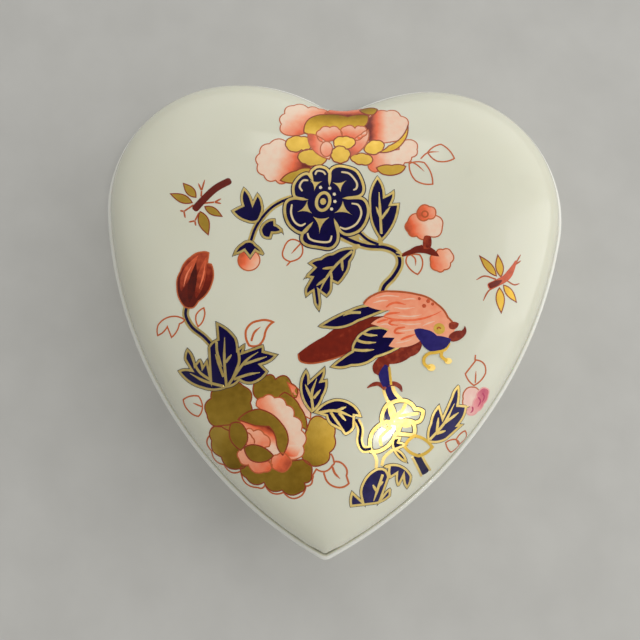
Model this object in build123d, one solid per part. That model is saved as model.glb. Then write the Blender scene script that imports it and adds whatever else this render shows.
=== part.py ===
from build123d import *
import math
import os

import numpy as np

# Heart-shaped porcelain trinket box: a footed base and a domed lift-off lid.
# Millimetres. +Z is up from the resting plane, +Y runs from the point of the
# heart towards its cleft, and the origin is centred under the whole box.

# --- Outline of the lid's edge ----------------------------------------------
# Each half is a chain of tangent arcs from the bottom of the cleft to the
# point: cleft, upper lobe, outer lobe, flank, point. Turns are in degrees.
# The halves differ a little, as hand-finished porcelain does. The radii of the
# outer lobe and the flank follow from the heart's length.
HEART_LENGTH = 111.4        # cleft to point, along the middle line
CLEFT_RADIUS = 9.0
POINT_RADIUS = 2.6
RIGHT_HALF = {"cleft": 28.6, "upper": 17.3, "lobe": 110.7, "flank": 50.7}
LEFT_HALF = {"cleft": 30.2, "upper": 43.0, "lobe": 84.4, "flank": 55.4}
RIGHT_UPPER_RADIUS = 46.0
LEFT_UPPER_RADIUS = 40.0

# --- Heights ----------------------------------------------------------------
FOOT_HEIGHT = 1.5           # ring the box stands on
FLOOR_TOP = 4.8             # inside floor of the base
SIDE_START = 14.0           # the base curves in below this height
CAVITY_SIDE_START = 15.0    # and its cavity below this one
RIM_HEIGHT = 26.0           # flat rim of the base that the lid rests on
LIP_HEIGHT = 2.2            # upstanding lip inside that rim
SEAT_GAP = 0.1              # hairline between the rim and the lid
EDGE_THICKNESS = 3.0        # rolled edge of the lid
EDGE_ROUND = 1.1
REBATE_DEPTH = 2.7          # the lid's step over the lip
DOME_RISE = 14.0            # crown of the lid above its rolled edge
CEILING_THICKNESS = 2.8

# --- Distances in from the lid's outline ------------------------------------
SIDE_INSET = 0.8            # the lid overhangs the base by this much
DOME_INSET = 1.9            # outside of the dome, above the rolled edge
REBATE_INSET = 2.9          # inside of the lid's edge, clear of the lip
LIP_INSET = 3.4             # outside of the lip
HOLLOW_INSET = 4.5          # inside of the dome
CAVITY_INSET = 4.6          # inside of the base and of its lip
MIN_POINT_RADIUS = 1.2      # sharpest inner corner at the point of the heart

# --- Foot ring --------------------------------------------------------------
FOOT_INSET = 10.5
FOOT_WIDTH = 2.6
FOOT_ROOT = 2.0             # how far the ring reaches up into the base

# --- Shape of the swelling surfaces -----------------------------------------
# A level runs from 0 at the outline to 1 at the highest point of the swell.
DOME_FULLNESS = 2.4         # 2 is round, and more is a steeper shoulder
BOWL_FULLNESS = 2.0
CROWN_LEVEL = 0.98          # the lid's crown is flat inside this level
BOTTOM_LEVEL = 0.25         # the underside is flat inside this level
FLOOR_LEVEL = 0.20          # and the inside floor inside this one
SECTION_COUNT = 16          # sections lofted through one swell
TYPICAL_HALF_WIDTH = 50.0   # used only to space those sections evenly
PROFILE_STEPS = 400
SAMPLE_SPACING = 3.0        # between samples of the outline
MIN_ARC_SAMPLES = 4         # samples on a short arc
SOURCE_DISTANCE = 5.0       # how far outside the outline the field's sources lie
SEARCH_STEP = 1.0           # between trial places for the highest point
HALVINGS = 40               # steps of each search along a ray


def chain(half, upper_radius):
    """Arcs of one half as (centre x, centre y, signed radius, first angle, turn).

    A concave arc has a negative radius. Right turns are negative turns.
    """
    cleft, upper, lobe, flank = (math.radians(half[name])
                                 for name in ("cleft", "upper", "lobe", "flank"))
    point = math.pi + cleft - upper - lobe - flank
    turns = [cleft, -upper, -lobe, -flank, -point]
    radii = np.array([CLEFT_RADIUS, upper_radius, 0.0, 0.0, POINT_RADIUS])
    # An arc moves the end of the chain by its radius times a fixed vector.
    moves = []
    heading = 0.0
    for turn in turns:
        side = math.copysign(1.0, turn)
        moves.append((side * (math.sin(heading + turn) - math.sin(heading)),
                      side * (math.cos(heading) - math.cos(heading + turn))))
        heading += turn
    moves = np.array(moves)
    radii[2:4] = np.linalg.solve(moves[2:4].T, np.array([0.0, -HEART_LENGTH]) - radii @ moves)
    arcs = []
    x, y, heading = 0.0, 0.0, 0.0
    for radius, turn, move in zip(radii, turns, moves):
        side = math.copysign(1.0, turn)
        centre = (x - side * radius * math.sin(heading), y + side * radius * math.cos(heading))
        arcs.append((*centre, -side * radius, heading - side * math.pi / 2, turn))
        x, y, heading = x + radius * move[0], y + radius * move[1], heading + turn
    return arcs


def mirrored(arcs):
    """The same half on the other side, run from the point to the cleft."""
    return [(-x, y, radius, math.pi - first - turn, turn)
            for x, y, radius, first, turn in reversed(arcs)]


RIGHT_ARCS = chain(RIGHT_HALF, RIGHT_UPPER_RADIUS)
LEFT_ARCS = mirrored(chain(LEFT_HALF, LEFT_UPPER_RADIUS))


def heart_arcs(inset):
    """The closed outline set in by inset: (x, y, radius, first angle, turn).

    Arcs keep their centres. The point's arc is fitted again between the two
    flanks, so that it never gets sharper than MIN_POINT_RADIUS.
    """
    right = [(x, y, abs(r - inset), first, turn) for x, y, r, first, turn in RIGHT_ARCS[:-1]]
    left = [(x, y, abs(r - inset), first, turn) for x, y, r, first, turn in LEFT_ARCS[1:]]
    # The point's circle touches both flanks from inside, so its centre is
    # where two circles about the flanks' centres cross.
    radius = max(POINT_RADIUS - inset, MIN_POINT_RADIUS)
    right_x, right_y, right_radius, right_first, _ = right.pop()
    left_x, left_y, left_radius, left_first, left_turn = left.pop(0)
    apart = np.array([left_x - right_x, left_y - right_y])
    gap = math.hypot(*apart)
    along = (gap ** 2 + (right_radius - radius) ** 2 - (left_radius - radius) ** 2) / (2 * gap)
    across = math.sqrt((right_radius - radius) ** 2 - along ** 2)
    x, y = (np.array([right_x, right_y]) + along * apart / gap
            + across * np.array([apart[1], -apart[0]]) / gap)
    right_last = math.atan2(y - right_y, x - right_x)
    left_start = math.atan2(y - left_y, x - left_x) + 2 * math.pi
    right.append((right_x, right_y, right_radius, right_first, right_last - right_first))
    point = (x, y, radius, right_last, left_start - right_last - 2 * math.pi)
    left.insert(0, (left_x, left_y, left_radius, left_start,
                    left_first + left_turn - left_start))
    return right + [point] + left


def on_arc(arc, part):
    """The place a given part of the way along an arc."""
    x, y, radius, first, turn = arc
    angle = first + turn * part
    return np.array([x + radius * math.cos(angle), y + radius * math.sin(angle)])


def outward(arc, part):
    """The direction out of the heart at that place."""
    angle = arc[3] + arc[4] * part
    side = -math.copysign(1.0, arc[4])
    return side * np.array([math.cos(angle), math.sin(angle)])


def heart_face(inset, height):
    """Flat heart, set in from the lid's outline, at a height."""
    edges = [ThreePointArc(*(tuple(on_arc(arc, part)) for part in (0, 0.5, 1)))
             for arc in heart_arcs(inset)]
    return Pos(0, 0, height) * make_face(edges)


def slab(inset, bottom, top):
    """Straight-sided heart between two heights."""
    return extrude(heart_face(inset, bottom), amount=top - bottom)


class Swell:
    """Field over a heart, 0 at its outline and 1 at its highest point.

    It is the shape of a membrane blown up from that outline: a paraboloid
    plus logarithmic sources placed just outside the edge.
    """

    def __init__(self, inset):
        edge = []
        sources = []
        for arc in heart_arcs(inset):
            count = max(MIN_ARC_SAMPLES, round(arc[2] * abs(arc[4]) / SAMPLE_SPACING))
            for k in range(count):
                edge.append(on_arc(arc, k / count))
                sources.append(edge[-1] + SOURCE_DISTANCE * outward(arc, k / count))
        self.edge = np.array(edge)
        self.sources = np.array(sources)
        self.weights = np.linalg.lstsq(self.terms(self.edge), (self.edge ** 2).sum(axis=1),
                                       rcond=1e-10)[0]
        # The highest point is somewhere in the middle half of the heart.
        low, high = self.edge.min(axis=0), self.edge.max(axis=0)
        middle, reach = (low + high) / 2, (high - low) / 4
        across, along = (np.arange(m - r, m + r, SEARCH_STEP) for m, r in zip(middle, reach))
        grid = np.stack(np.meshgrid(across, along), axis=-1).reshape(-1, 2)
        heights = self.height(grid)
        self.top = grid[int(np.argmax(heights))]
        self.highest = heights.max()

    def terms(self, places):
        away = places[:, None, :] - self.sources[None, :, :]
        return np.hstack([np.ones((len(places), 1)), np.log((away ** 2).sum(axis=2))])

    def height(self, places):
        return self.terms(places) @ self.weights - (places ** 2).sum(axis=1)

    def ring(self, level):
        """Places where the field has a level, one on each ray to the top."""
        low = np.zeros(len(self.edge))
        high = np.ones(len(self.edge))
        for _ in range(HALVINGS):
            middle = (low + high) / 2
            places = self.edge + middle[:, None] * (self.top - self.edge)
            below = self.height(places) < level * self.highest
            low = np.where(below, middle, low)
            high = np.where(below, high, middle)
        return self.edge + low[:, None] * (self.top - self.edge)


def share_of_rise(level, fullness):
    return (1 - (1 - level) ** fullness) ** (1 / fullness)


def swell_solid(inset, wall_end, edge_height, rise, fullness, last_level):
    """Solid heart with an upright wall that runs on into a swelling surface.

    The wall goes from wall_end to edge_height, and the surface from there by
    rise, up or down. It is flat inside last_level.
    """
    field = Swell(inset)
    whole = share_of_rise(last_level, fullness)
    # Sections stand at even distances along the profile of the surface.
    levels = last_level * np.linspace(0, 1, PROFILE_STEPS) ** 3
    out = TYPICAL_HALF_WIDTH * np.sqrt(1 - levels)
    up = abs(rise) * share_of_rise(levels, fullness)
    travel = np.append(0, np.cumsum(np.hypot(np.diff(out), np.diff(up))))
    sections = [(0.0, wall_end)]
    for level in np.interp(np.linspace(0, travel[-1], SECTION_COUNT), travel, levels):
        sections.append((level, edge_height + rise * share_of_rise(level, fullness) / whole))
    faces = []
    for level, height in sections:
        places = [(x, y, height) for x, y in field.ring(level)]
        faces.append(make_face(Spline(places, periodic=True)))
    return loft(faces, ruled=True)


def make_base():
    """Cast body: bowl with a foot ring, an upright side, a flat rim and a lip."""
    body = swell_solid(SIDE_INSET, RIM_HEIGHT, SIDE_START, FOOT_HEIGHT - SIDE_START,
                       BOWL_FULLNESS, BOTTOM_LEVEL)
    foot = slab(FOOT_INSET, 0, FOOT_HEIGHT + FOOT_ROOT)
    foot -= slab(FOOT_INSET + FOOT_WIDTH, 0, FOOT_HEIGHT)
    lip = slab(LIP_INSET, RIM_HEIGHT - LIP_HEIGHT, RIM_HEIGHT + LIP_HEIGHT)
    cavity = swell_solid(CAVITY_INSET, RIM_HEIGHT + 2 * LIP_HEIGHT, CAVITY_SIDE_START,
                         FLOOR_TOP - CAVITY_SIDE_START, BOWL_FULLNESS, FLOOR_LEVEL)
    return body + foot + lip - cavity


def make_lid():
    """Cast lid: rolled edge, domed top, hollow underneath and a step over the lip."""
    seat = RIM_HEIGHT + SEAT_GAP
    edge_top = seat + EDGE_THICKNESS
    edge = slab(0, seat, edge_top)
    edge = fillet(edge.edges().filter_by(Plane.XY), EDGE_ROUND)
    dome = swell_solid(DOME_INSET, seat + EDGE_THICKNESS / 2, edge_top, DOME_RISE,
                       DOME_FULLNESS, CROWN_LEVEL)
    hollow = swell_solid(HOLLOW_INSET, seat - EDGE_THICKNESS, edge_top,
                         DOME_RISE - CEILING_THICKNESS, DOME_FULLNESS, CROWN_LEVEL)
    rebate = slab(REBATE_INSET, seat - EDGE_THICKNESS, seat + REBATE_DEPTH)
    return edge + dome - hollow - rebate


outline = heart_face(0, 0).bounding_box().center()
centring = Pos(-outline.X, -outline.Y, 0)
os.makedirs("parts", exist_ok=True)
for name, make in {"base": make_base, "lid": make_lid}.items():
    piece = centring * make()
    piece.label = name
    export_step(piece, f"parts/{name}.step")
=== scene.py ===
import cmath
import math

import bpy
import numpy as np
from mathutils import Matrix, Vector
from mathutils.geometry import delaunay_2d_cdt


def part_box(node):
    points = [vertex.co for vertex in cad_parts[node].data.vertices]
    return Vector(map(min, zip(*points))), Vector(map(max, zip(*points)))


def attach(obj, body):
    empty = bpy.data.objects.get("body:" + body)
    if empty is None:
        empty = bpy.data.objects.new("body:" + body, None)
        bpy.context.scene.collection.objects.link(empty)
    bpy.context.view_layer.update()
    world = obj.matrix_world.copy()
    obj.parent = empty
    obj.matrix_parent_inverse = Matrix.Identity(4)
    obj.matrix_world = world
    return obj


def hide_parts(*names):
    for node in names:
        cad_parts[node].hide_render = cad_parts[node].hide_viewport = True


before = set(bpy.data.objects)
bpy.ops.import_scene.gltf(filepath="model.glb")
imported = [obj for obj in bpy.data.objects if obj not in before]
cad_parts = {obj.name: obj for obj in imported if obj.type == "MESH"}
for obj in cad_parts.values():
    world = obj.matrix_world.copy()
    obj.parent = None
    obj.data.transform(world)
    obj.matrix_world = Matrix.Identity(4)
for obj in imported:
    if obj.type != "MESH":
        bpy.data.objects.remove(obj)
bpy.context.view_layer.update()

# Heart-shaped porcelain trinket box with a painted, gilded lid.
# Shapes are worked out in millimetres and meshes are made in metres.
MM = 0.001

# ---------------------------------------------------------------------------
# Outline of the lid: the same tangent arcs as the CAD model
# ---------------------------------------------------------------------------
HEART_LENGTH = 111.4                 # cleft to point
CLEFT_RADIUS = 9.0
POINT_RADIUS = 2.6
MIN_POINT_RADIUS = 1.2               # sharpest inner corner at the point
RIGHT_TURNS = (28.6, 17.3, 110.7, 50.7)      # degrees: cleft, upper lobe, outer lobe, flank
LEFT_TURNS = (30.2, 43.0, 84.4, 55.4)
RIGHT_UPPER_RADIUS = 46.0
LEFT_UPPER_RADIUS = 40.0

RING_SPACING = 1.1                   # between the places on a ring of a shell
RING_LEAST = 14                      # places on each of its short arcs
ROUND_STEPS = 6                      # round a rounded corner
SHARP_CORNER = math.radians(50)      # sharper corners keep a crisp edge
PROFILE_STEPS = 600                  # along the profile of a swelling surface
TYPICAL_HALF_WIDTH = 50.0            # used only to space rings evenly along it
LAST_LEVEL = 0.9995                  # a swelling surface ends in a small flat cap here


def chain(turns, upper_radius):
    """Arcs of one half as (centre x, centre y, signed radius, first angle, turn)."""
    cleft, upper, lobe, flank = (math.radians(t) for t in turns)
    signed = [cleft, -upper, -lobe, -flank, upper + lobe + flank - math.pi - cleft]
    radii = np.array([CLEFT_RADIUS, upper_radius, 0.0, 0.0, POINT_RADIUS])
    moves = []
    heading = 0.0
    for turn in signed:
        side = math.copysign(1.0, turn)
        moves.append((side * (math.sin(heading + turn) - math.sin(heading)),
                      side * (math.cos(heading) - math.cos(heading + turn))))
        heading += turn
    moves = np.array(moves)
    radii[2:4] = np.linalg.solve(moves[2:4].T, np.array([0.0, -HEART_LENGTH]) - radii @ moves)
    arcs = []
    x, y, heading = 0.0, 0.0, 0.0
    for radius, turn, move in zip(radii, signed, moves):
        side = math.copysign(1.0, turn)
        arcs.append((x - side * radius * math.sin(heading), y + side * radius * math.cos(heading),
                     -side * radius, heading - side * math.pi / 2, turn))
        x, y, heading = x + radius * move[0], y + radius * move[1], heading + turn
    return arcs


RIGHT_ARCS = chain(RIGHT_TURNS, RIGHT_UPPER_RADIUS)
LEFT_ARCS = [(-x, y, radius, math.pi - first - turn, turn)
             for x, y, radius, first, turn in reversed(chain(LEFT_TURNS, LEFT_UPPER_RADIUS))]


def heart_arcs(inset):
    """The closed outline set in by inset, as (x, y, radius, first angle, turn)."""
    right = [(x, y, abs(r - inset), first, turn) for x, y, r, first, turn in RIGHT_ARCS[:-1]]
    left = [(x, y, abs(r - inset), first, turn) for x, y, r, first, turn in LEFT_ARCS[1:]]
    radius = max(POINT_RADIUS - inset, MIN_POINT_RADIUS)
    right_x, right_y, right_radius, right_first, _ = right.pop()
    left_x, left_y, left_radius, left_first, left_turn = left.pop(0)
    apart = np.array([left_x - right_x, left_y - right_y])
    gap = math.hypot(*apart)
    along = (gap ** 2 + (right_radius - radius) ** 2 - (left_radius - radius) ** 2) / (2 * gap)
    across = math.sqrt((right_radius - radius) ** 2 - along ** 2)
    x, y = (np.array([right_x, right_y]) + along * apart / gap
            + across * np.array([apart[1], -apart[0]]) / gap)
    right_last = math.atan2(y - right_y, x - right_x)
    left_start = math.atan2(y - left_y, x - left_x) + 2 * math.pi
    right.append((right_x, right_y, right_radius, right_first, right_last - right_first))
    point = (x, y, radius, right_last, left_start - right_last - 2 * math.pi)
    left.insert(0, (left_x, left_y, left_radius, left_start,
                    left_first + left_turn - left_start))
    return right + [point] + left


def sampled(inset, spacing, least):
    """Places on the outline, about spacing apart, and the directions out of it.

    The number of places on an arc is that of the lid's own outline, so outlines
    at all insets have the same number of places.
    """
    places, outward = [], []
    for (_, _, full, _, swept), (x, y, radius, first, turn) in zip(heart_arcs(0), heart_arcs(inset)):
        count = max(least, round(full * abs(swept) / spacing))
        for k in range(count):
            direction = cmath.rect(1, first + turn * k / count)
            places.append(complex(x, y) + radius * direction)
            outward.append(-math.copysign(1, turn) * direction)
    return np.array(places), np.array(outward)


edge_line, _ = sampled(0, RING_SPACING, RING_LEAST)
CENTRE = complex((edge_line.real.min() + edge_line.real.max()) / 2,
                 (edge_line.imag.min() + edge_line.imag.max()) / 2)


class Swell:
    """Field over a heart, 0 at its outline and 1 at its top, like a blown-up membrane."""

    SPACING = 3.0               # between samples of the outline
    LEAST = 4                   # samples on a short arc
    SOURCE_DISTANCE = 5.0       # of the field's sources outside the outline
    SEARCH_STEP = 1.0           # between trial places for the top
    HALVINGS = 26               # in each search along a ray
    LEAST_WEIGHT = 1e-10        # share below which the fit leaves a direction out

    def __init__(self, inset):
        edge, outward = sampled(inset, self.SPACING, self.LEAST)
        self.line, _ = sampled(inset, RING_SPACING, RING_LEAST)
        self.sources = edge + self.SOURCE_DISTANCE * outward
        self.weights = np.linalg.lstsq(self.terms(edge), np.abs(edge) ** 2,
                                       rcond=self.LEAST_WEIGHT)[0]
        middle = complex((edge.real.min() + edge.real.max()) / 2,
                         (edge.imag.min() + edge.imag.max()) / 2)
        reach = np.arange(-edge.real.max() / 2, edge.real.max() / 2, self.SEARCH_STEP)
        grid = middle + (reach[:, None] + 1j * reach[None, :]).ravel()
        heights = self.height(grid)
        self.top = grid[int(np.argmax(heights))]
        self.highest = heights.max()

    def terms(self, places):
        away = np.abs(places[:, None] - self.sources[None, :])
        return np.hstack([np.ones((len(places), 1)), 2 * np.log(away)])

    def height(self, places):
        return self.terms(places) @ self.weights - np.abs(places) ** 2

    def level(self, places):
        return self.height(places) / self.highest

    def slope(self, places):
        """How fast the level rises, as a vector."""
        away = places[:, None] - self.sources[None, :]
        pull = (2 * away / np.abs(away) ** 2) @ self.weights[1:]
        return (pull - 2 * places) / self.highest

    def ring(self, level):
        """Places where the field has a level, one on each ray to the top."""
        low = np.zeros(len(self.line))
        high = np.ones(len(self.line))
        for _ in range(self.HALVINGS):
            middle = (low + high) / 2
            below = self.level(self.line + middle * (self.top - self.line)) < level
            low = np.where(below, middle, low)
            high = np.where(below, high, middle)
        return self.line + low * (self.top - self.line)


def share_of_rise(level, fullness):
    """Height of a swelling surface at a level. A fuller one has a steeper shoulder."""
    return (1 - (1 - level) ** fullness) ** (1 / fullness)


# ---------------------------------------------------------------------------
# Sizes taken from the CAD model, and the insets they go with
# ---------------------------------------------------------------------------
_, base_high = (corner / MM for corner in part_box("base"))
lid_low, lid_high = (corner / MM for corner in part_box("lid"))

EDGE_THICKNESS = 3.0                 # rolled edge of the lid
EDGE_ROUND = 1.0
GROOVE_DEPTH = 0.7
DOME_INSET = 1.9
DOME_FULLNESS = 2.4
CEILING_THICKNESS = 2.8
HOLLOW_INSET = 4.5
REBATE_INSET = 2.9
REBATE_DEPTH = 2.7
LIP_HEIGHT = 2.2
LIP_INSET = 3.4
SIDE_INSET = 0.8
SIDE_START = 14.0
CAVITY_INSET = 4.6
CAVITY_SIDE_START = 15.0
FLOOR_TOP = 4.8
FLOOR_LEVEL = 0.20
BOTTOM_LEVEL = 0.25
BOWL_FULLNESS = 2.0
FOOT_INSET = 10.5
FOOT_WIDTH = 2.6
FOOT_HEIGHT = 1.5
FOOT_SUPPORT = 1.0                   # ring inside the foot that keeps its corner crisp
SMALL_ROUND = 0.4
PAINTED_EDGE_HIGHLIGHT = -0.6                    # painted highlight: the top of the rolled edge drawn lighter
PAINTED_CORNER_SHADE = 0.5                   # painted shade: the base's inner corners drawn a little darker
HOLLOW_RINGS = 32
DOME_RINGS = 64
BOWL_RINGS = 24
SIDE_RINGS = 3

# Groove round the dome: inset past the dome's foot, share of GROOVE_DEPTH, and painted shade
GROOVE = ((-0.75, 0.12, -0.3), (-0.5, 0.45, 0.5), (-0.28, 0.9, 1.0),
          (-0.1, 1.0, 1.0), (0, 0.9, 1.0), (0.02, 0.4, 0.8))

EDGE_TOP = lid_low.z + EDGE_THICKNESS
DOME_RISE = lid_high.z - EDGE_TOP
RIM_HEIGHT = base_high.z - LIP_HEIGHT

dome_field = Swell(DOME_INSET)


# ---------------------------------------------------------------------------
# Meshes from rings
# ---------------------------------------------------------------------------
def offset_ring(inset, height):
    """The lid's outline set in by inset, at a height."""
    places, _ = sampled(inset, RING_SPACING, RING_LEAST)
    return places - CENTRE, height


def rounded(inset, height, radius, first, last):
    """Rings round a rounded corner, by angles from the outward direction."""
    rings = []
    for k in range(ROUND_STEPS + 1):
        angle = math.radians(first + (last - first) * k / ROUND_STEPS)
        rings.append(offset_ring(inset - radius * math.cos(angle), height + radius * math.sin(angle)))
    return rings


def swell_rings(field, edge_height, rise, fullness, last_level, count):
    """Rings up (or down) a swelling surface, evenly spaced along its profile."""
    levels = last_level * np.linspace(0, 1, PROFILE_STEPS) ** 3
    out = TYPICAL_HALF_WIDTH * np.sqrt(1 - levels)
    up = abs(rise) * share_of_rise(levels, fullness)
    travel = np.append(0, np.cumsum(np.hypot(np.diff(out), np.diff(up))))
    whole = share_of_rise(last_level, fullness)
    rings = []
    for level in np.interp(np.linspace(0, travel[-1], count), travel, levels):
        height = edge_height + rise * share_of_rise(level, fullness) / whole
        rings.append((field.ring(level) - CENTRE, height))
    return rings


def mesh_object(name, verts, faces, material, body):
    mesh = bpy.data.meshes.new(name)
    mesh.from_pydata([tuple(v) for v in np.asarray(verts) * MM], [], faces)
    mesh.materials.append(material)
    mesh.polygons.foreach_set("use_smooth", [True] * len(mesh.polygons))
    mesh.update()
    piece = bpy.data.objects.new(name, mesh)
    bpy.context.scene.collection.objects.link(piece)
    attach(piece, body)
    return piece


def shell_from_rings(name, rings, first_top, last_top, body, painted_shade_and_highlight, bare):
    """Closed porcelain skin through rings, with a centre point at each end.

    The amounts of painted shade are given by ring, negative amounts being painted
    highlight, and the china is bare from each ring in bare to the next one.
    """
    verts, faces = [], []
    count = len(rings[0][0])
    for places, height in rings:
        verts += [(p.real, p.imag, height) for p in places]
    for k in range(len(rings) - 1):
        for i in range(count):
            j = (i + 1) % count
            faces.append((k * count + i, k * count + j, (k + 1) * count + j, (k + 1) * count + i))
    for ring, top in ((0, first_top), (len(rings) - 1, last_top)):
        verts.append((top.real, top.imag, rings[ring][1]))
        centre = len(verts) - 1
        for i in range(count):
            j = (i + 1) % count
            faces.append((ring * count + i, ring * count + j, centre) if ring
                         else (ring * count + j, ring * count + i, centre))
    piece = mesh_object(name, verts, faces, porcelain, body)
    piece.data.set_sharp_from_angle(angle=SHARP_CORNER)
    piece.data.materials.append(bare_china)
    # Painted shade by ring, and painted highlight where the amount is negative, for the porcelain's colour
    painted_shading = np.zeros(len(verts), np.float32)
    for ring, amount in painted_shade_and_highlight.items():
        painted_shading[ring * count:(ring + 1) * count] = amount
    piece.data.attributes.new("painted_shade_and_highlight", "FLOAT", "POINT").data.foreach_set("value", painted_shading)
    for ring in bare:
        for face in piece.data.polygons[ring * count:(ring + 1) * count]:
            face.material_index = 1
    return piece


# ---------------------------------------------------------------------------
# Materials
# ---------------------------------------------------------------------------
def new_material(name):
    """A material, its node tree and its shader."""
    material = bpy.data.materials.new(name)
    material.use_nodes = True
    return material, material.node_tree, material.node_tree.nodes["Principled BSDF"]


def noise(tree, scale, detail=3.0):
    """Noise over the object's own coordinates, with its scale given per metre."""
    place = tree.nodes.new("ShaderNodeTexCoord")
    node = tree.nodes.new("ShaderNodeTexNoise")
    node.inputs["Scale"].default_value = scale
    node.inputs["Detail"].default_value = detail
    tree.links.new(place.outputs["Object"], node.inputs["Vector"])
    return node.outputs["Fac"]


def attribute(tree, name):
    """A number stored on the mesh."""
    node = tree.nodes.new("ShaderNodeAttribute")
    node.attribute_name = name
    return node.outputs["Fac"]


def scaled(tree, source, factor, added):
    """A number times a factor, plus a number or another output."""
    node = tree.nodes.new("ShaderNodeMath")
    node.operation = "MULTIPLY_ADD"
    tree.links.new(source, node.inputs[0])
    node.inputs[1].default_value = factor
    if isinstance(added, bpy.types.NodeSocket):
        tree.links.new(added, node.inputs[2])
    else:
        node.inputs[2].default_value = added
    return node.outputs["Value"]


def remapped(tree, source, low, high, start=0.0):
    """A number from start to 1, spread between low and high."""
    node = tree.nodes.new("ShaderNodeMapRange")
    node.inputs["From Min"].default_value = start
    node.inputs["To Min"].default_value = low
    node.inputs["To Max"].default_value = high
    tree.links.new(source, node.inputs["Value"])
    return node.outputs["Result"]


def ramp(tree, source, stops):
    """Colour looked up in a ramp with stops (position, colour)."""
    node = tree.nodes.new("ShaderNodeValToRGB")
    elements = node.color_ramp.elements
    elements[0].position, elements[0].color = stops[0][0], (*stops[0][1], 1)
    elements[1].position, elements[1].color = stops[-1][0], (*stops[-1][1], 1)
    for position, colour in stops[1:-1]:
        elements.new(position).color = (*colour, 1)
    tree.links.new(source, node.inputs["Fac"])
    return node.outputs["Color"]


def add_bump(tree, source, shader, distance, strength):
    bump = tree.nodes.new("ShaderNodeBump")
    bump.inputs["Distance"].default_value = distance
    bump.inputs["Strength"].default_value = strength
    tree.links.new(source, bump.inputs["Height"])
    tree.links.new(bump.outputs["Normal"], shader.inputs["Normal"])


def porcelain_material():
    """Warm ivory bone china under a clear, faintly rippled glaze, with painted shade and highlight."""
    material, tree, shader = new_material("glazed_porcelain")
    uneven = scaled(tree, noise(tree, 45), 0.4, 0.35)
    # The attribute darkens the glaze colour as painted shade, and lightens it as a painted highlight where
    # negative
    painted_shading = scaled(tree, attribute(tree, "painted_shade_and_highlight"), -0.5, uneven)
    tint = ramp(tree, painted_shading, [(0.05, (0.25, 0.24, 0.19)), (0.47, (0.715, 0.71, 0.585)),
                              (0.63, (0.75, 0.745, 0.63)), (0.85, (0.81, 0.81, 0.77))])
    tree.links.new(tint, shader.inputs["Base Color"])
    add_bump(tree, noise(tree, 110, 2), shader, 0.00012, 0.6)
    shader.inputs["Roughness"].default_value = 0.13
    shader.inputs["IOR"].default_value = 1.5
    shader.inputs["Subsurface Weight"].default_value = 0.08
    shader.inputs["Subsurface Radius"].default_value = (0.0016, 0.0012, 0.0009)
    shader.inputs["Subsurface Scale"].default_value = 1.0
    return material


def bare_china_material():
    """Unglazed china, ground flat where the box stands and where the halves meet."""
    material, tree, shader = new_material("bare_china")
    grain = noise(tree, 1800)
    tint = ramp(tree, grain, [(0.3, (0.58, 0.55, 0.47)), (0.7, (0.70, 0.68, 0.60))])
    tree.links.new(tint, shader.inputs["Base Color"])
    add_bump(tree, grain, shader, 0.00004, 0.5)
    shader.inputs["Roughness"].default_value = 0.75
    return material


def brushed_tone(tree, scale, spread):
    """The paint's tone, from 0 to 1, made uneven by brushwork (on gold also painted shade and reflection).
    """
    brushwork = scaled(tree, noise(tree, scale, 4), spread, attribute(tree, "tone"))
    return scaled(tree, brushwork, 1.0, -spread / 2)


def enamel_material(name, stops, roughness=0.25, scale=700, spread=0.35):
    """Glassy painted enamel, its colour taken from the tone of the paint."""
    material, tree, shader = new_material(name)
    colour = ramp(tree, brushed_tone(tree, scale, spread), stops)
    tree.links.new(colour, shader.inputs["Base Color"])
    add_bump(tree, noise(tree, 900, 2), shader, 0.00002, 0.5)
    shader.inputs["Roughness"].default_value = roughness
    shader.inputs["IOR"].default_value = 1.45
    return material


def gilding_material():
    """Burnished gold, brushed on and a little worn."""
    material, tree, shader = new_material("gilding")
    # Tones set per gold patch make the one gold darker in some places and lighter in others: painted shade
    # and painted reflection
    colour = ramp(tree, brushed_tone(tree, 500, 0.45),
                  [(0, (0.33, 0.185, 0.02)), (0.4, (0.58, 0.355, 0.05)), (0.75, (0.76, 0.50, 0.10)),
                   (1, (0.88, 0.68, 0.27))])
    tree.links.new(colour, shader.inputs["Base Color"])
    worn = remapped(tree, noise(tree, 1400, 3), 0.30, 0.50)
    tree.links.new(worn, shader.inputs["Roughness"])
    add_bump(tree, noise(tree, 2600, 2), shader, 0.00002, 0.6)
    shader.inputs["Metallic"].default_value = 1.0
    return material


porcelain = porcelain_material()
bare_china = bare_china_material()
cobalt = enamel_material("cobalt", [
    (0, (0.035, 0.026, 0.19)), (0.35, (0.006, 0.0015, 0.065)), (0.6, (0.002, 0.0005, 0.034)),
    (1, (0.0015, 0.0008, 0.016))], 0.10)
coral = enamel_material("coral", [
    (0, (0.91, 0.70, 0.55)), (0.25, (0.96, 0.42, 0.26)), (0.5, (0.90, 0.16, 0.06)),
    (0.75, (0.20, 0.014, 0.004)), (1, (0.05, 0.004, 0.002))], spread=0.22)
cream = enamel_material("cream", [(0, (0.84, 0.72, 0.50)), (1, (0.70, 0.52, 0.26))])
rose = enamel_material("rose", [
    (0, (0.90, 0.68, 0.58)), (0.5, (0.82, 0.27, 0.30)), (1, (0.50, 0.045, 0.13))])
line_red = enamel_material("line_red", [(0, (0.70, 0.17, 0.05)), (1, (0.24, 0.03, 0.01))], 0.25, 900, 0.5)
gilding = gilding_material()


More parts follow.
